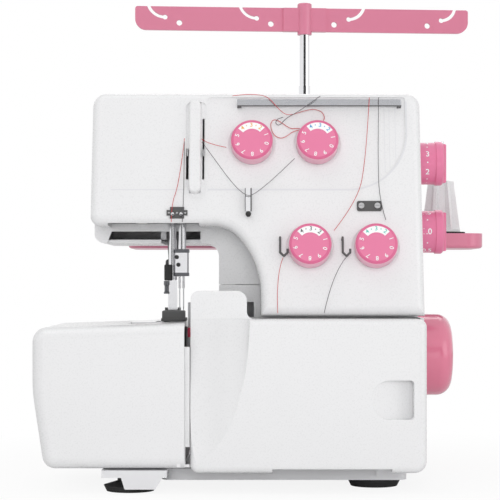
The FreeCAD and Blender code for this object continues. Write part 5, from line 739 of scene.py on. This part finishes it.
@dataclass
class Casing:
    """White shells, covers and the base, with painted shade lines along the front panel's recess edge,
    crease and grooves.
    """

    frame: FrameDress
    panel: FrontPanel
    contour_left: float = -49.0
    contour_right: float = 93.6
    contour_bottom: float = 211.4
    contour_top: float = 276.0
    contour_sweep: float = 42.0
    contour_wide: float = 1.3
    contour_points: tuple[int, int, int] = (12, 24, 6)
    crease_left: float = -118.0
    crease_right: float = -66.4
    crease_wide: float = 0.8
    groove_wide: float = 0.35
    groove_sunk: float = 1.2
    grooves: tuple[tuple[float, float], ...] = ((77.9, 224.0), (81.4, 227.0), (85.7, 232.0))
    groove_top: float = 271.0
    liner_back: float = -3.0
    liner_front: float = -0.8
    liners: tuple[Span, ...] = (
        (-64.7, -62.3, 204.6, 219.0), (-64.7, -62.3, 241.5, 275.8), (-54.1, -50.3, 204.6, 219.0),
        (-54.1, -50.3, 263.5, 275.8), (-51.5, -50.3, 219.0, 263.5), (-54.1, -52.95, 219.0, 263.5),
        (-62.4, -54.0, 204.6, 209.0), (-62.75, -62.3, 219.0, 241.5),
    )

    def draw_lines(self) -> None:
        """Draws painted shade strips along the contour round the upper dials, the head's crease and the
        thread grooves, and a liner.

        The contour runs along the bottom, turns a quarter circle and climbs the right side. The liner
        stands behind the edges of the take-up slot.
        """
        plane = self.panel.face
        bottom_count, turn_count, side_count = self.contour_points
        turn = np.radians(np.linspace(-90, 0, turn_count))[1:]
        middle = (self.contour_right - self.contour_sweep, self.contour_bottom + self.contour_sweep)
        across = np.concatenate((
            np.linspace(self.contour_left, middle[0], bottom_count),
            middle[0] + self.contour_sweep * np.cos(turn), np.full(side_count, self.contour_right),
        ))
        heights = np.concatenate((
            np.full(bottom_count, self.contour_bottom), middle[1] + self.contour_sweep * np.sin(turn),
            np.linspace(middle[1], self.contour_top, side_count + 1)[1:],
        ))
        path = np.stack((across, self.panel.rise(heights)), -1)
        # Painted shade: a darker grey strip along the edge of the recess round the upper dials.
        settle(ribbon("panel_contour_shade", plane, path, self.contour_wide, PROUD), PAINTED_SEAM_SHADE, Body.MACHINE)
        # Painted shade: a darker grey strip along the head's crease.
        level = self.panel.rise(np.full(2, self.contour_bottom))
        path = np.stack((np.array((self.crease_left, self.crease_right)), level), -1)
        settle(ribbon("head_crease_shade", plane, path, self.crease_wide, PROUD), PAINTED_SEAM_SHADE, Body.MACHINE)
        # Painted shade: darker grey strips down the thread grooves on the recess floor.
        for index, (x, low) in enumerate(self.grooves):
            path = np.stack((np.full(2, x), self.panel.rise((low, self.groove_top))), -1)
            groove = ribbon(f"thread_groove{index}", plane, path, self.groove_wide, PROUD - self.groove_sunk)
            settle(groove, PAINTED_SEAM_SHADE, Body.MACHINE)
        spans = np.array(self.liners)
        spans[:, 2:] = self.panel.rise(spans[:, 2:])
        liner = panel_blocks("take_up_liner", plane, spans, self.liner_back, self.liner_front)
        settle(liner, CASING_WHITE, Body.MACHINE)

    def build(self) -> None:
        """Dresses the shells, the covers, the base and the feet, and draws the panel's painted shade lines.
        """
        self.draw_lines()
        self.frame.dress(
            CASING_WHITE, "front_panel", "rear_casing", "base_casing", "side_cover", "looper_cover",
            "take_up_cover", "cone_holders",
        )
        self.frame.dress(LEG_WHITE, "leg_bracket")
        self.frame.dress(BASE_GREY, "base_tray")
        self.frame.dress(BLACK_RUBBER, "rubber_feet", "spool_pads")
        self.frame.dress(GROUND_STEEL, "casing_screws", "hinge_rod")


@dataclass(frozen=True)
class DialPrint:
    """Place, turn and window colour of one tension dial."""

    name: str
    body: Body
    x: float
    z: float
    turn: float
    window: Finish
    sunk: float


@dataclass
class TensionDials:
    """Four pink tension dials with a ring of numbers and a white window at the usual setting."""

    frame: FrameDress
    panel: FrontPanel
    face_out: float = 10.8
    ring_radius: float = 13.2
    ring_wide: float = 0.45
    numbers: int = 10
    usual_number: int = 3
    number_radius: float = 10.9
    number_high: float = 3.1
    dot_radius: float = 0.4
    window_inner: float = 8.0
    window_outer: float = 12.7
    window_half: float = 48.0
    pitch: float = 36.0
    wall_radius: float = 14.75
    rim_radius: float = 13.0
    dials: tuple[DialPrint, ...] = (
        DialPrint("tension_dial_left_needle", Body.LEFT_NEEDLE, -17.5, 244.8, 2.0, PRINT_ORANGE, 1.2),
        DialPrint("tension_dial_right_needle", Body.RIGHT_NEEDLE, 29.5, 244.8, -9.0, PRINT_BLUE, 1.2),
        DialPrint("tension_dial_upper_looper", Body.UPPER_LOOPER, 23.5, 170.0, -2.0, PRINT_GREY, 0.0),
        DialPrint("tension_dial_lower_looper", Body.LOWER_LOOPER, 70.0, 170.0, 1.0, PRINT_TEAL, 0.0),
    )

    def build(self) -> None:
        """Dresses each dial and prints its face."""
        for dial in self.dials:
            self.frame.dress(DIAL_PINK, dial.name)
            self.frame.patch(DIAL_RING, dial.name, self.beyond(dial, self.rim_radius))
            # Painted light: faces beyond the wall radius take the paler pink.
            self.frame.patch(PAINTED_LIGHT_DIAL_WALL, dial.name, self.beyond(dial, self.wall_radius))
            self.print_face(dial)
        self.frame.dress(BRIGHT_STEEL, "tension_posts", "tension_discs")

    def beyond(self, dial: DialPrint, radius: float) -> PointTest:
        """Gives the test for points further than a radius from a dial's axis.

        Args:
            dial: The dial.
            radius: The radius.

        Returns:
            A function from points to true or false for each.
        """
        face = self.panel.plane(dial.x, dial.z)

        def test(points: np.ndarray) -> np.ndarray:
            """Takes the part of each point's offset that is square to the axis."""
            offset = points - face.middle
            return np.hypot(offset @ face.right, offset @ face.up) > radius

        return test

    def print_face(self, dial: DialPrint) -> None:
        """Lays the ring line, the window, the numbers and the dots between them on a dial's face.

        Args:
            dial: The dial.
        """
        face = self.panel.plane(dial.x, dial.z, self.face_out - dial.sunk)
        ring = ring_sector(
            dial.name + "_ring", face, self.ring_radius - self.ring_wide / 2,
            self.ring_radius + self.ring_wide / 2, 0, 360, PROUD / 2,
        )
        settle(ring, DIAL_RING, dial.body)
        top = 90 + dial.turn
        window = ring_sector(
            dial.name + "_window", face, self.window_inner, self.window_outer,
            top - self.window_half, top + self.window_half, PROUD,
        )
        settle(window, PRINT_WHITE, dial.body)
        for number in range(self.numbers):
            from_usual = number - self.usual_number
            finish = dial.window if abs(from_usual) <= 1 else PRINT_WHITE
            spot = self.spot(face, top + from_usual * self.pitch)
            mark = lettering(f"{dial.name}_{number}", str(number), self.number_high, spot)
            settle(mark, finish, dial.body)
        for half_step, side in ((-0.5, "a"), (0.5, "b")):
            centre = np.radians(top + half_step * self.pitch)
            middle = face.at(
                self.number_radius * np.cos(centre), self.number_radius * np.sin(centre), 2 * PROUD,
            )
            dot = ring_sector(
                f"{dial.name}_dot{side}", Plane(middle, face.right, face.up), 0.0, self.dot_radius,
                0, 360, 0.0,
            )
            settle(dot, dial.window, dial.body)

    def spot(self, face: Plane, angle: float) -> Placing:
        """Gives the rule that lays a number on the face with its top turned outwards.

        Args:
            face: Plane of the dial's face.
            angle: Angle of the number, in degrees counter-clockwise from the right.

        Returns:
            A function from distances across and up to points.
        """
        outward = math.radians(angle)

        def place(across: np.ndarray, upward: np.ndarray) -> np.ndarray:
            """Turns the flat number so that up points away from the middle of the dial."""
            radius = self.number_radius + upward
            return face.at(
                radius * math.cos(outward) + across * math.sin(outward),
                radius * math.sin(outward) - across * math.cos(outward), 2 * PROUD,
            )

        return place


@dataclass(frozen=True)
class DrumMark:
    """A number or a dot on the drum of a side dial, at an angle above the front."""

    text: str
    angle: float


@dataclass
class SideDials:
    """Stitch length and differential feed dials on the right, with numbers round their drums."""

    frame: FrameDress
    axis_y: float = -33.0
    drum_radius: float = 15.6
    drum_middle: float = 112.6
    number_high: float = 4.4
    dot_radius: float = 0.55
    dot_steps: int = 16
    marks: dict[Body, tuple[float, tuple[DrumMark, ...]]] = field(default_factory=lambda: {
        Body.STITCH: (234.0, (
            DrumMark("4", 72.0), DrumMark("", 48.0), DrumMark("3", 24.0), DrumMark("", 0.0),
            DrumMark("2", -26.0), DrumMark("", -50.0), DrumMark("1", -74.0),
        )),
        Body.FEED: (183.0, (
            DrumMark("1.5", 62.0), DrumMark("", 33.0), DrumMark("1.0", 0.0), DrumMark("", -33.0),
            DrumMark("0.5", -62.0),
        )),
    })

    def build(self) -> None:
        """Dresses both dials and the handwheel, and prints the drums."""
        self.frame.dress(DIAL_PINK, "stitch_length_dial", "differential_feed_dial")
        self.frame.dress(WHEEL_PINK, "handwheel")
        for body, (height, marks) in self.marks.items():
            for index, mark in enumerate(marks):
                name = f"{body.value}_mark{index}"
                if mark.text:
                    piece = lettering(name, mark.text, self.number_high, self.wrap(height, mark.angle))
                else:
                    turn = np.linspace(0, 2 * math.pi, self.dot_steps, endpoint=False)
                    rim = self.wrap(height, mark.angle)(
                        self.dot_radius * np.cos(turn), self.dot_radius * np.sin(turn),
                    )
                    piece = add_mesh(name, rim, [range(len(turn))])
                settle(piece, PRINT_WHITE, body)

    def wrap(self, height: float, angle: float) -> Placing:
        """Gives the rule that bends a flat number round a drum.

        Args:
            height: Height of the drum's axis.
            angle: Angle of the number above the front, in degrees.

        Returns:
            A function from distances across and up to points.
        """
        reach = self.drum_radius + PROUD

        def place(across: np.ndarray, upward: np.ndarray) -> np.ndarray:
            """Takes the distance up as arc length on the drum."""
            turn = math.radians(angle) + upward / reach
            return np.stack((
                self.drum_middle + across, self.axis_y - reach * np.cos(turn), height + reach * np.sin(turn),
            ), -1)

        return place


class ThreadEnd(Enum):
    """How the far end of a loose thread ends."""

    BARE = "bare"
    TIED_IN = "object"


@dataclass(frozen=True)
class LooseEnd:
    """A loose end of thread: its node, how it ends, and its route from where it leaves the machine."""

    name: str
    finish: YarnFinish
    node: str
    far_end: ThreadEnd
    run: tuple[Point, ...]


@dataclass
class ThreadGuides:
    """Threads, their guide bar, clips, post and hooks, and the antenna with its spool tray."""

    frame: FrameDress
    panel: FrontPanel
    thread_radius: float = 0.22
    bar_z: float = 273.5
    bar_half_high: float = 2.3
    post_place: tuple[float, float] = (-20.0, 203.0)
    post_base_top: float = 195.6
    # Painted shade strips at the post's sides: left, right, bottom and top of each.
    post_edges: tuple[Span, ...] = ((-2.4, -1.9, -8.4, 8.6), (1.5, 2.4, -8.4, 8.6))
    post_edge_out: tuple[float, float] = (2.95, 4.3)
    guide_screws: tuple[float, float] = (-73.6, -67.8)
    guide_screw_z: float = 193.2
    guide_out: float = 2.9
    screw_profile: tuple[tuple[float, float], ...] = ((0.0, 0.0), (1.3, 0.0), (0.9, 0.6), (0.0, 0.7))
    screw_steps: int = 20
    red_runs: tuple[tuple[Point, ...], ...] = (
        ((67, 276.5, 6.4), (66.6, 271.5, 6.6), (63.6, 233, 3), (58.4, 203.8, 2.2), (40.6, 181.4, 2.4)),
        ((-35.8, 241.2, 3), (-49.4, 242.6, 6.2), (-53.4, 246, 7.2)),
        (
            (-65.6, 246.4, 7.2), (-66.2, 240, 4), (-70.4, 211.5, 2.4), (-74.4, 200.6, 2.4),
            (-74.6, 187.5, 2.2),
        ),
        ((4.4, 160.5, 9), (-0.6, 150, 4), (0.6, 123.2, 3)),
    )
    grey_runs: tuple[tuple[Point, ...], ...] = (
        ((73.6, 276.5, 6.4), (73.4, 271.5, 6.6), (72.6, 232, 3.2), (73, 203.8, 2.2), (77.4, 189, 2.2)),
        ((13, 233, 3), (-13.4, 206, 5.6), (-24.6, 205, 5.6), (-49.6, 239, 6.4), (-53, 243.6, 7.4)),
        ((-65.6, 244, 7.6), (-65.7, 238, 4), (-66, 200.6, 2.4), (-66.8, 187.5, 2.2)),
        ((48.4, 160.5, 9), (39, 150, 4), (33, 123.2, 3)),
    )
    loose_ends: tuple[LooseEnd, ...] = (
        LooseEnd("loose_red_end", RED_YARN, "threads_red", ThreadEnd.BARE, (
            (32.5, 260.0, -0.7), (34.4, 262.0, -0.4), (35.0, 265.2, -0.4), (32.6, 268.6, 0.4),
            (26.4, 270.2, 0.8), (18.4, 268.4, 0.0), (8.4, 264.8, 1.0), (1.8, 268.2, 5.4), (-3.2, 274.2, 6.6),
            (-8.2, 278.0, 6.4), (-16.5, 279.0, 6.2), (-24.4, 278.8, 6.2), (-31.4, 277.8, 6.4),
        )),
        LooseEnd("loose_red_loop", RED_YARN, "threads_red", ThreadEnd.TIED_IN, (
            (17.3, 256.0, -0.7), (14.2, 256.3, -0.6), (10.9, 255.9, -0.6), (7.2, 258.0, -0.6),
            (2.4, 261.6, -0.6), (-1.2, 263.0, -0.6), (-3.7, 260.9, -0.6), (-3.9, 257.2, -0.6),
            (-2.6, 253.0, -0.6), (0.2, 249.8, -0.6), (4.2, 248.8, -0.6), (8.4, 251.0, -0.6),
            (12.0, 254.0, -0.6), (16.2, 255.0, -0.7),
        )),
        LooseEnd("loose_grey_end", GREY_YARN, "threads_grey", ThreadEnd.BARE, (
            (31.7, 277.6, 6.4), (26.8, 274.2, 6.6), (21.4, 270.2, 6.2), (14.8, 266.6, 3.4),
            (8.6, 263.9, 1.4), (5.2, 261.2, 0.6), (3.4, 259.0, 0.4), (1.3, 258.1, 0.4),
            (-0.6, 259.9, 0.4), (0.4, 262.3, 0.4), (2.7, 263.4, 0.4), (5.0, 264.2, 0.4),
        )),
    )

    def build(self) -> None:
        """Dresses the guides and the antenna, and strings the threads."""
        self.frame.dress(ANTENNA_PINK, "antenna_guide_bar", "spool_tray")
        self.frame.dress(
            BRIGHT_STEEL, "antenna_lower_tube", "antenna_pole", "spool_pins", "thread_guide_post",
        )
        self.frame.dress(BAR_STEEL, "thread_guide_bar")
        self.frame.dress(DARK_STEEL_AND_PAINTED_SHADE, "needle_thread_guide", "looper_thread_guide", "looper_thread_hooks")
        self.screw_guide()
        self.frame.patch(BLACK_PLASTIC, "thread_guide_post", lambda p: p[:, 2] < self.post_base_top)
        # Painted shade: the faces of the guide bar's underside take the dark steel finish.
        bar = self.panel.plane(0.0, self.bar_z)
        self.frame.patch(
            DARK_STEEL_AND_PAINTED_SHADE, "thread_guide_bar", lambda p: (p - bar.middle) @ bar.up < PROUD - self.bar_half_high,
        )
        # Painted shade: thin dark blocks at the post's left and right edges stand for the shade on its
        # sides.
        edges = panel_blocks(
            "post_edges", self.panel.plane(*self.post_place), np.array(self.post_edges), *self.post_edge_out,
        )
        settle(edges, DARK_STEEL_AND_PAINTED_SHADE, Body.MACHINE)
        for loose in self.loose_ends:
            self.drop(loose)
        self.string("red_threads", self.red_runs, RED_YARN, "threads_red")
        self.string("grey_threads", self.grey_runs, GREY_YARN, "threads_grey")

    def screw_guide(self) -> None:
        """Puts two bright screw heads on the dark guide over the needles."""
        for index, x in enumerate(self.guide_screws):
            plane = self.panel.plane(x, self.guide_screw_z, self.guide_out)
            screw = revolve(
                f"needle_guide_screw{index}", plane.middle, plane.normal, np.array(self.screw_profile),
                self.screw_steps,
            )
            settle(screw, BRIGHT_STEEL, Body.MACHINE)

    def string(self, name: str, runs: Sequence[Sequence[Point]], finish: YarnFinish, node: str) -> None:
        """Strings threads along their routes, in place of the frame's plain ones.

        Args:
            name: Name of the piece.
            runs: Route points of each length: place across, height on the panel and distance off it.
            finish: Finish of the thread.
            node: Node that the curves stand for.
        """
        threads = strand(name, [self.route(run) for run in runs], self.thread_radius)
        settle(threads, finish, Body.MACHINE)
        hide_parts(node)

    def route(self, run: Sequence[Point]) -> np.ndarray:
        """Places route points: across, height on the panel's face and distance off it.

        Args:
            run: The route's points.

        Returns:
            Array of points in the machine's frame.
        """
        across, heights, out = np.array(run, dtype=float).T
        return self.panel.face.at(across, self.panel.rise(heights), out)

    def drop(self, loose: LooseEnd) -> None:
        """Lays a loose end of thread over the guide bar and the panel.

        Args:
            loose: The loose end.
        """
        points = self.route(loose.run)
        thread = strand(loose.name, [points], self.thread_radius)
        settle(thread, loose.finish, Body.MACHINE)
        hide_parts(loose.node)
        run_length(thread)


@dataclass
class SewingGroup:
    """Needle bar, clamp, presser foot, knives, plate and lamp."""

    frame: FrameDress
    guard: tuple[Point, Point] = ((-81.0, -73.4, 146.6), (-75.2, -69.1, 158.2))
    guard_bevel: float = 0.8
    roller_place: tuple[float, float] = (-79.4, -71.2)
    roller_radius: float = 2.0
    roller_waist: float = 0.5
    roller_slope: float = 0.4
    roller_rims: tuple[float, float] = (1.2, 3.0)
    roller_span: tuple[float, float] = (137.0, 146.4)
    roller_steps: int = 24
    bands: dict[str, tuple[Point, Point]] = field(default_factory=lambda: {
        "clamp_top_band": ((-72.9, -81.1, 166.6), (-62.7, -70.9, 169.3)),
        "clamp_low_band": ((-72.8, -81.0, 149.8), (-62.8, -71.0, 152.4)),
    })
    band_bevel: float = 0.4
    clamp_screws_y: float = -80.9
    knife_clamp_y: float = -97.01
    lamp_glass_z: float = 195.99
    spring_place: tuple[float, float] = (-75.0, -66.0)
    spring_radius: float = 4.6
    spring_wire: float = 0.6
    spring_turns: int = 6
    spring_steps: int = 24
    wire_sides: int = 10
    spring_pitch: float = 3.6
    spring_start: float = 217.04
    presser_rise: float = 6.1

    def build(self) -> None:
        """Dresses the working pieces round the needles."""
        self.frame.dress(
            BRIGHT_STEEL, "needle_bar", "needles", "needle_clamp", "presser_bar", "needle_plate",
        )
        self.frame.dress(DARK_STEEL_AND_PAINTED_SHADE, "presser_foot", "presser_lever", "lower_knife")
        self.frame.dress(
            GROUND_STEEL, "moving_knife", "upper_looper", "lower_looper", "feed_dogs", "take_up_lever",
        )
        self.frame.dress(BLACK_PLASTIC, "lamp")
        self.frame.patch(BLACK_PLASTIC, "needle_clamp", lambda p: p[:, 1] < self.clamp_screws_y)
        self.frame.patch(KNIFE_RED, "moving_knife", lambda p: p[:, 1] < self.knife_clamp_y)
        self.frame.patch(LAMP_GLASS, "lamp", lambda p: p[:, 2] < self.lamp_glass_z)
        self.trim()
        self.wind_spring()

    def wind_spring(self) -> None:
        """Winds the presser spring as an even coil.

        A circle of the wire is carried along a helix and drawn to a point at both ends.
        """
        steps = self.spring_steps * self.spring_turns
        turn = np.linspace(0, 2 * math.pi * self.spring_turns, steps + 1)
        turn = np.concatenate((turn[:1], turn, turn[-1:]))[:, None, None]
        wire = np.full(turn.shape, self.spring_wire)
        wire[[0, -1]] = 0.0
        around = np.linspace(0, 2 * math.pi, self.wire_sides, endpoint=False)[None, :, None]
        outward = np.concatenate((np.cos(turn), np.sin(turn), np.zeros_like(turn)), -1)
        foot = np.array((*self.spring_place, self.spring_start))
        line = foot + self.spring_radius * outward + self.spring_pitch * turn / (2 * math.pi) * UPWARD
        points = line + wire * (np.cos(around) * outward + np.sin(around) * UPWARD)
        faces = grid_faces(len(turn), self.wire_sides, close_columns=True)[:, ::-1]
        spring = add_mesh("presser_coil", points.reshape(-1, 3), faces)
        settle(spring, GROUND_STEEL, Body.MACHINE, smooth=True)
        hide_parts("presser_spring")
        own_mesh(spring)

    def trim(self) -> None:
        """Adds the guard and roller beside the presser shank, and the bands of the needle clamp."""
        settle(slab("presser_guard", *self.guard, self.guard_bevel), BLACK_PLASTIC, Body.PRESSER)
        low, high = self.roller_span
        low_rim, high_rim = low + self.roller_rims[0], high - self.roller_rims[1]
        wide, narrow = self.roller_radius, self.roller_radius - self.roller_waist
        profile = np.array((
            (0, low), (wide, low), (wide, low_rim), (narrow, low_rim + self.roller_slope),
            (narrow, high_rim - self.roller_slope), (wide, high_rim), (wide, high), (0, high),
        ))
        middle = np.array((*self.roller_place, 0.0))
        roller = revolve("presser_roller", middle, UPWARD, profile, self.roller_steps)
        settle(roller, CLAMP_GREY, Body.PRESSER)
        for name, span in self.bands.items():
            settle(slab(name, *span, self.band_bevel), CLAMP_GREY, Body.NEEDLES)


@dataclass
class Works:
    """Frame, shafts, belt drive, motor and the electrical pieces."""

    frame: FrameDress

    def build(self) -> None:
        """Dresses everything inside the casing."""
        self.frame.dress(CAST_ALUMINIUM, "main_frame", "motor_bracket", "drive_pulley", "motor_pulley")
        self.frame.dress(GROUND_STEEL, "main_shaft")
        self.frame.dress(BRONZE, "shaft_bushes")
        self.frame.dress(BLACK_RUBBER, "timing_belt")
        self.frame.dress(MOTOR_PAINT, "motor")
        self.frame.dress(BLACK_PLASTIC, "power_inlet", "power_switch", "switch_frame")


@dataclass(frozen=True)
class SoftLight:
    """A square soft light: its place, the point it faces, its width, its power in watts and its shine."""

    name: str
    place: Point
    target: Point
    wide: float
    power: float
    shine: bool = True


@dataclass
class Studio:
    """Pale floor, white surround, soft lights and the camera."""

    camera_place: Point = (-0.0188, -1.341, 0.147)
    lens: float = 125.9
    sensor: float = 36.0
    shift_up: float = 0.06
    room_light: float = 0.58
    floor_half: float = 6.0
    floor_colour: Colour = (0.86, 0.86, 0.86)
    floor_roughness: float = 0.8
    floor_fade: tuple[float, float, float, float] = (0.12, 0.40, 0.88, 1.0)
    lights: tuple[SoftLight, ...] = (
        SoftLight("key_light", (-0.6, -0.5, 2.1), (0.0, 0.0, 0.15), 1.3, 6.0),
        SoftLight("front_light", (0.0, -2.4, 0.35), (0.0, 0.0, 0.15), 1.2, 20.0, shine=False),
        SoftLight("fill_light", (1.5, -1.2, 0.6), (0.0, 0.0, 0.15), 1.2, 4.5),
        SoftLight("back_light", (0.3, 1.6, 1.6), (0.0, 0.0, 0.2), 1.2, 6.0),
    )
    card_y: float = -2.4
    card_colour: Colour = (0.02, 0.02, 0.02)
    card_roughness: float = 0.9
    cards: dict[str, Span] = field(default_factory=lambda: {
        "high_card": (-1.1, 1.3, 0.42, 1.15), "left_card": (-2.1, -0.45, 0.02, 0.40),
        "right_card": (0.55, 2.1, 0.02, 0.40),
    })

    def build(self) -> None:
        """Builds the surround, the lights and the camera."""
        self.world()
        self.floor()
        for light in self.lights:
            self.lamp(light)
        for name, span in self.cards.items():
            self.dark_card(name, span)
        camera = bpy.data.cameras.new("camera")
        camera.sensor_width = self.sensor
        camera.lens = self.lens
        camera.shift_y = self.shift_up
        holder = link("camera", camera)
        holder.location = self.camera_place
        holder.rotation_euler = (math.pi / 2, 0.0, 0.0)
        bpy.context.scene.camera = holder
        bpy.context.scene.view_settings.view_transform = "Standard"

    def world(self) -> None:
        """Lights the room evenly, and shows white to the camera, to gloss and through glass."""
        world = bpy.data.worlds.new("surround")
        world.use_nodes = True
        nodes, links = world.node_tree.nodes, world.node_tree.links
        background = nodes["Background"]
        background.inputs["Color"].default_value = (1.0, 1.0, 1.0, 1.0)
        rays = nodes.new("ShaderNodeLightPath")
        seen = rays.outputs["Is Camera Ray"]
        for kind in ("Is Glossy Ray", "Is Transmission Ray"):
            either = nodes.new("ShaderNodeMath")
            either.operation = "MAXIMUM"
            links.new(seen, either.inputs[0])
            links.new(rays.outputs[kind], either.inputs[1])
            seen = either.outputs[0]
        strength = nodes.new("ShaderNodeMix")
        links.new(seen, strength.inputs["Factor"])
        strength.inputs["A"].default_value = self.room_light
        strength.inputs["B"].default_value = 1.0
        links.new(strength.outputs["Result"], background.inputs["Strength"])
        bpy.context.scene.world = world

    def floor(self) -> None:
        """Lays a pale floor that keeps a soft shadow and runs out to white."""
        half = self.floor_half / MM
        points = np.array(((-half, -half, 0), (half, -half, 0), (half, half, 0), (-half, half, 0)))
        floor = add_mesh("floor", points, [(0, 1, 2, 3)])
        material = new_material("pale_floor")
        nodes, links = material.node_tree.nodes, material.node_tree.links
        shader = nodes["Principled BSDF"]
        set_inputs(shader, {"Base Color": (*self.floor_colour, 1.0), "Roughness": self.floor_roughness})
        glow = nodes.new("ShaderNodeEmission")
        rays = nodes.new("ShaderNodeLightPath")
        place = nodes.new("ShaderNodeTexCoord")
        reach = nodes.new("ShaderNodeVectorMath")
        reach.operation = "LENGTH"
        links.new(place.outputs["Object"], reach.inputs[0])
        fade = nodes.new("ShaderNodeMapRange")
        set_inputs(fade, dict(zip(("From Min", "From Max", "To Min", "To Max"), self.floor_fade)))
        links.new(reach.outputs["Value"], fade.inputs["Value"])
        share = nodes.new("ShaderNodeMath")
        share.operation = "MULTIPLY"
        links.new(fade.outputs["Result"], share.inputs[1])
        links.new(rays.outputs["Is Camera Ray"], share.inputs[0])
        blend = nodes.new("ShaderNodeMixShader")
        links.new(share.outputs[0], blend.inputs["Fac"])
        links.new(shader.outputs[0], blend.inputs[1])
        links.new(glow.outputs[0], blend.inputs[2])
        links.new(blend.outputs[0], nodes["Material Output"].inputs["Surface"])
        floor.data.materials.append(material)

    def dark_card(self, name: str, span: Span) -> None:
        """Hangs a dark card behind the camera that only polished metal shows.

        Args:
            name: Name of the card.
            span: Its left, right, bottom and top in metres.
        """
        left, right, low, high = span
        points = np.array(((left, low), (left, high), (right, high), (right, low)))
        points = np.insert(points, 1, self.card_y, axis=1) / MM
        card = add_mesh(name, points, [(0, 1, 2, 3)])
        material = new_material(name)
        shader = material.node_tree.nodes["Principled BSDF"]
        set_inputs(shader, {"Base Color": (*self.card_colour, 1.0), "Roughness": self.card_roughness})
        card.data.materials.append(material)
        card.visible_camera = False
        card.visible_diffuse = False
        card.visible_shadow = False
        card.visible_transmission = False

    def lamp(self, light: SoftLight) -> None:
        """Hangs a soft light and turns it to the point that it faces.

        Args:
            light: The light.
        """
        lamp = bpy.data.lights.new(light.name, "AREA")
        lamp.size = light.wide
        lamp.energy = light.power
        holder = link(light.name, lamp)
        holder.location = light.place
        holder.visible_glossy = light.shine
        aim = np.array(light.target) - np.array(light.place)
        climb = math.atan2(aim[2], math.hypot(aim[0], aim[1]))
        heading = math.atan2(aim[1], aim[0])
        holder.rotation_euler = (math.pi / 2 + climb, 0.0, heading - math.pi / 2)


def main() -> None:
    """Builds the machine's looks in order."""
    logging.basicConfig(level=logging.INFO, format="%(name)s: %(message)s")
    for old in list(bpy.data.objects):
        bpy.data.objects.remove(old)
    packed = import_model()
    frame = FrameDress(packed["nodes"])
    panel = FrontPanel()
    for group in (
        Casing(frame, panel), Works(frame), SewingGroup(frame), TensionDials(frame, panel), SideDials(frame),
        ThreadGuides(frame, panel),
    ):
        group.build()
    Studio().build()


if __name__ == "__main__":
    main()
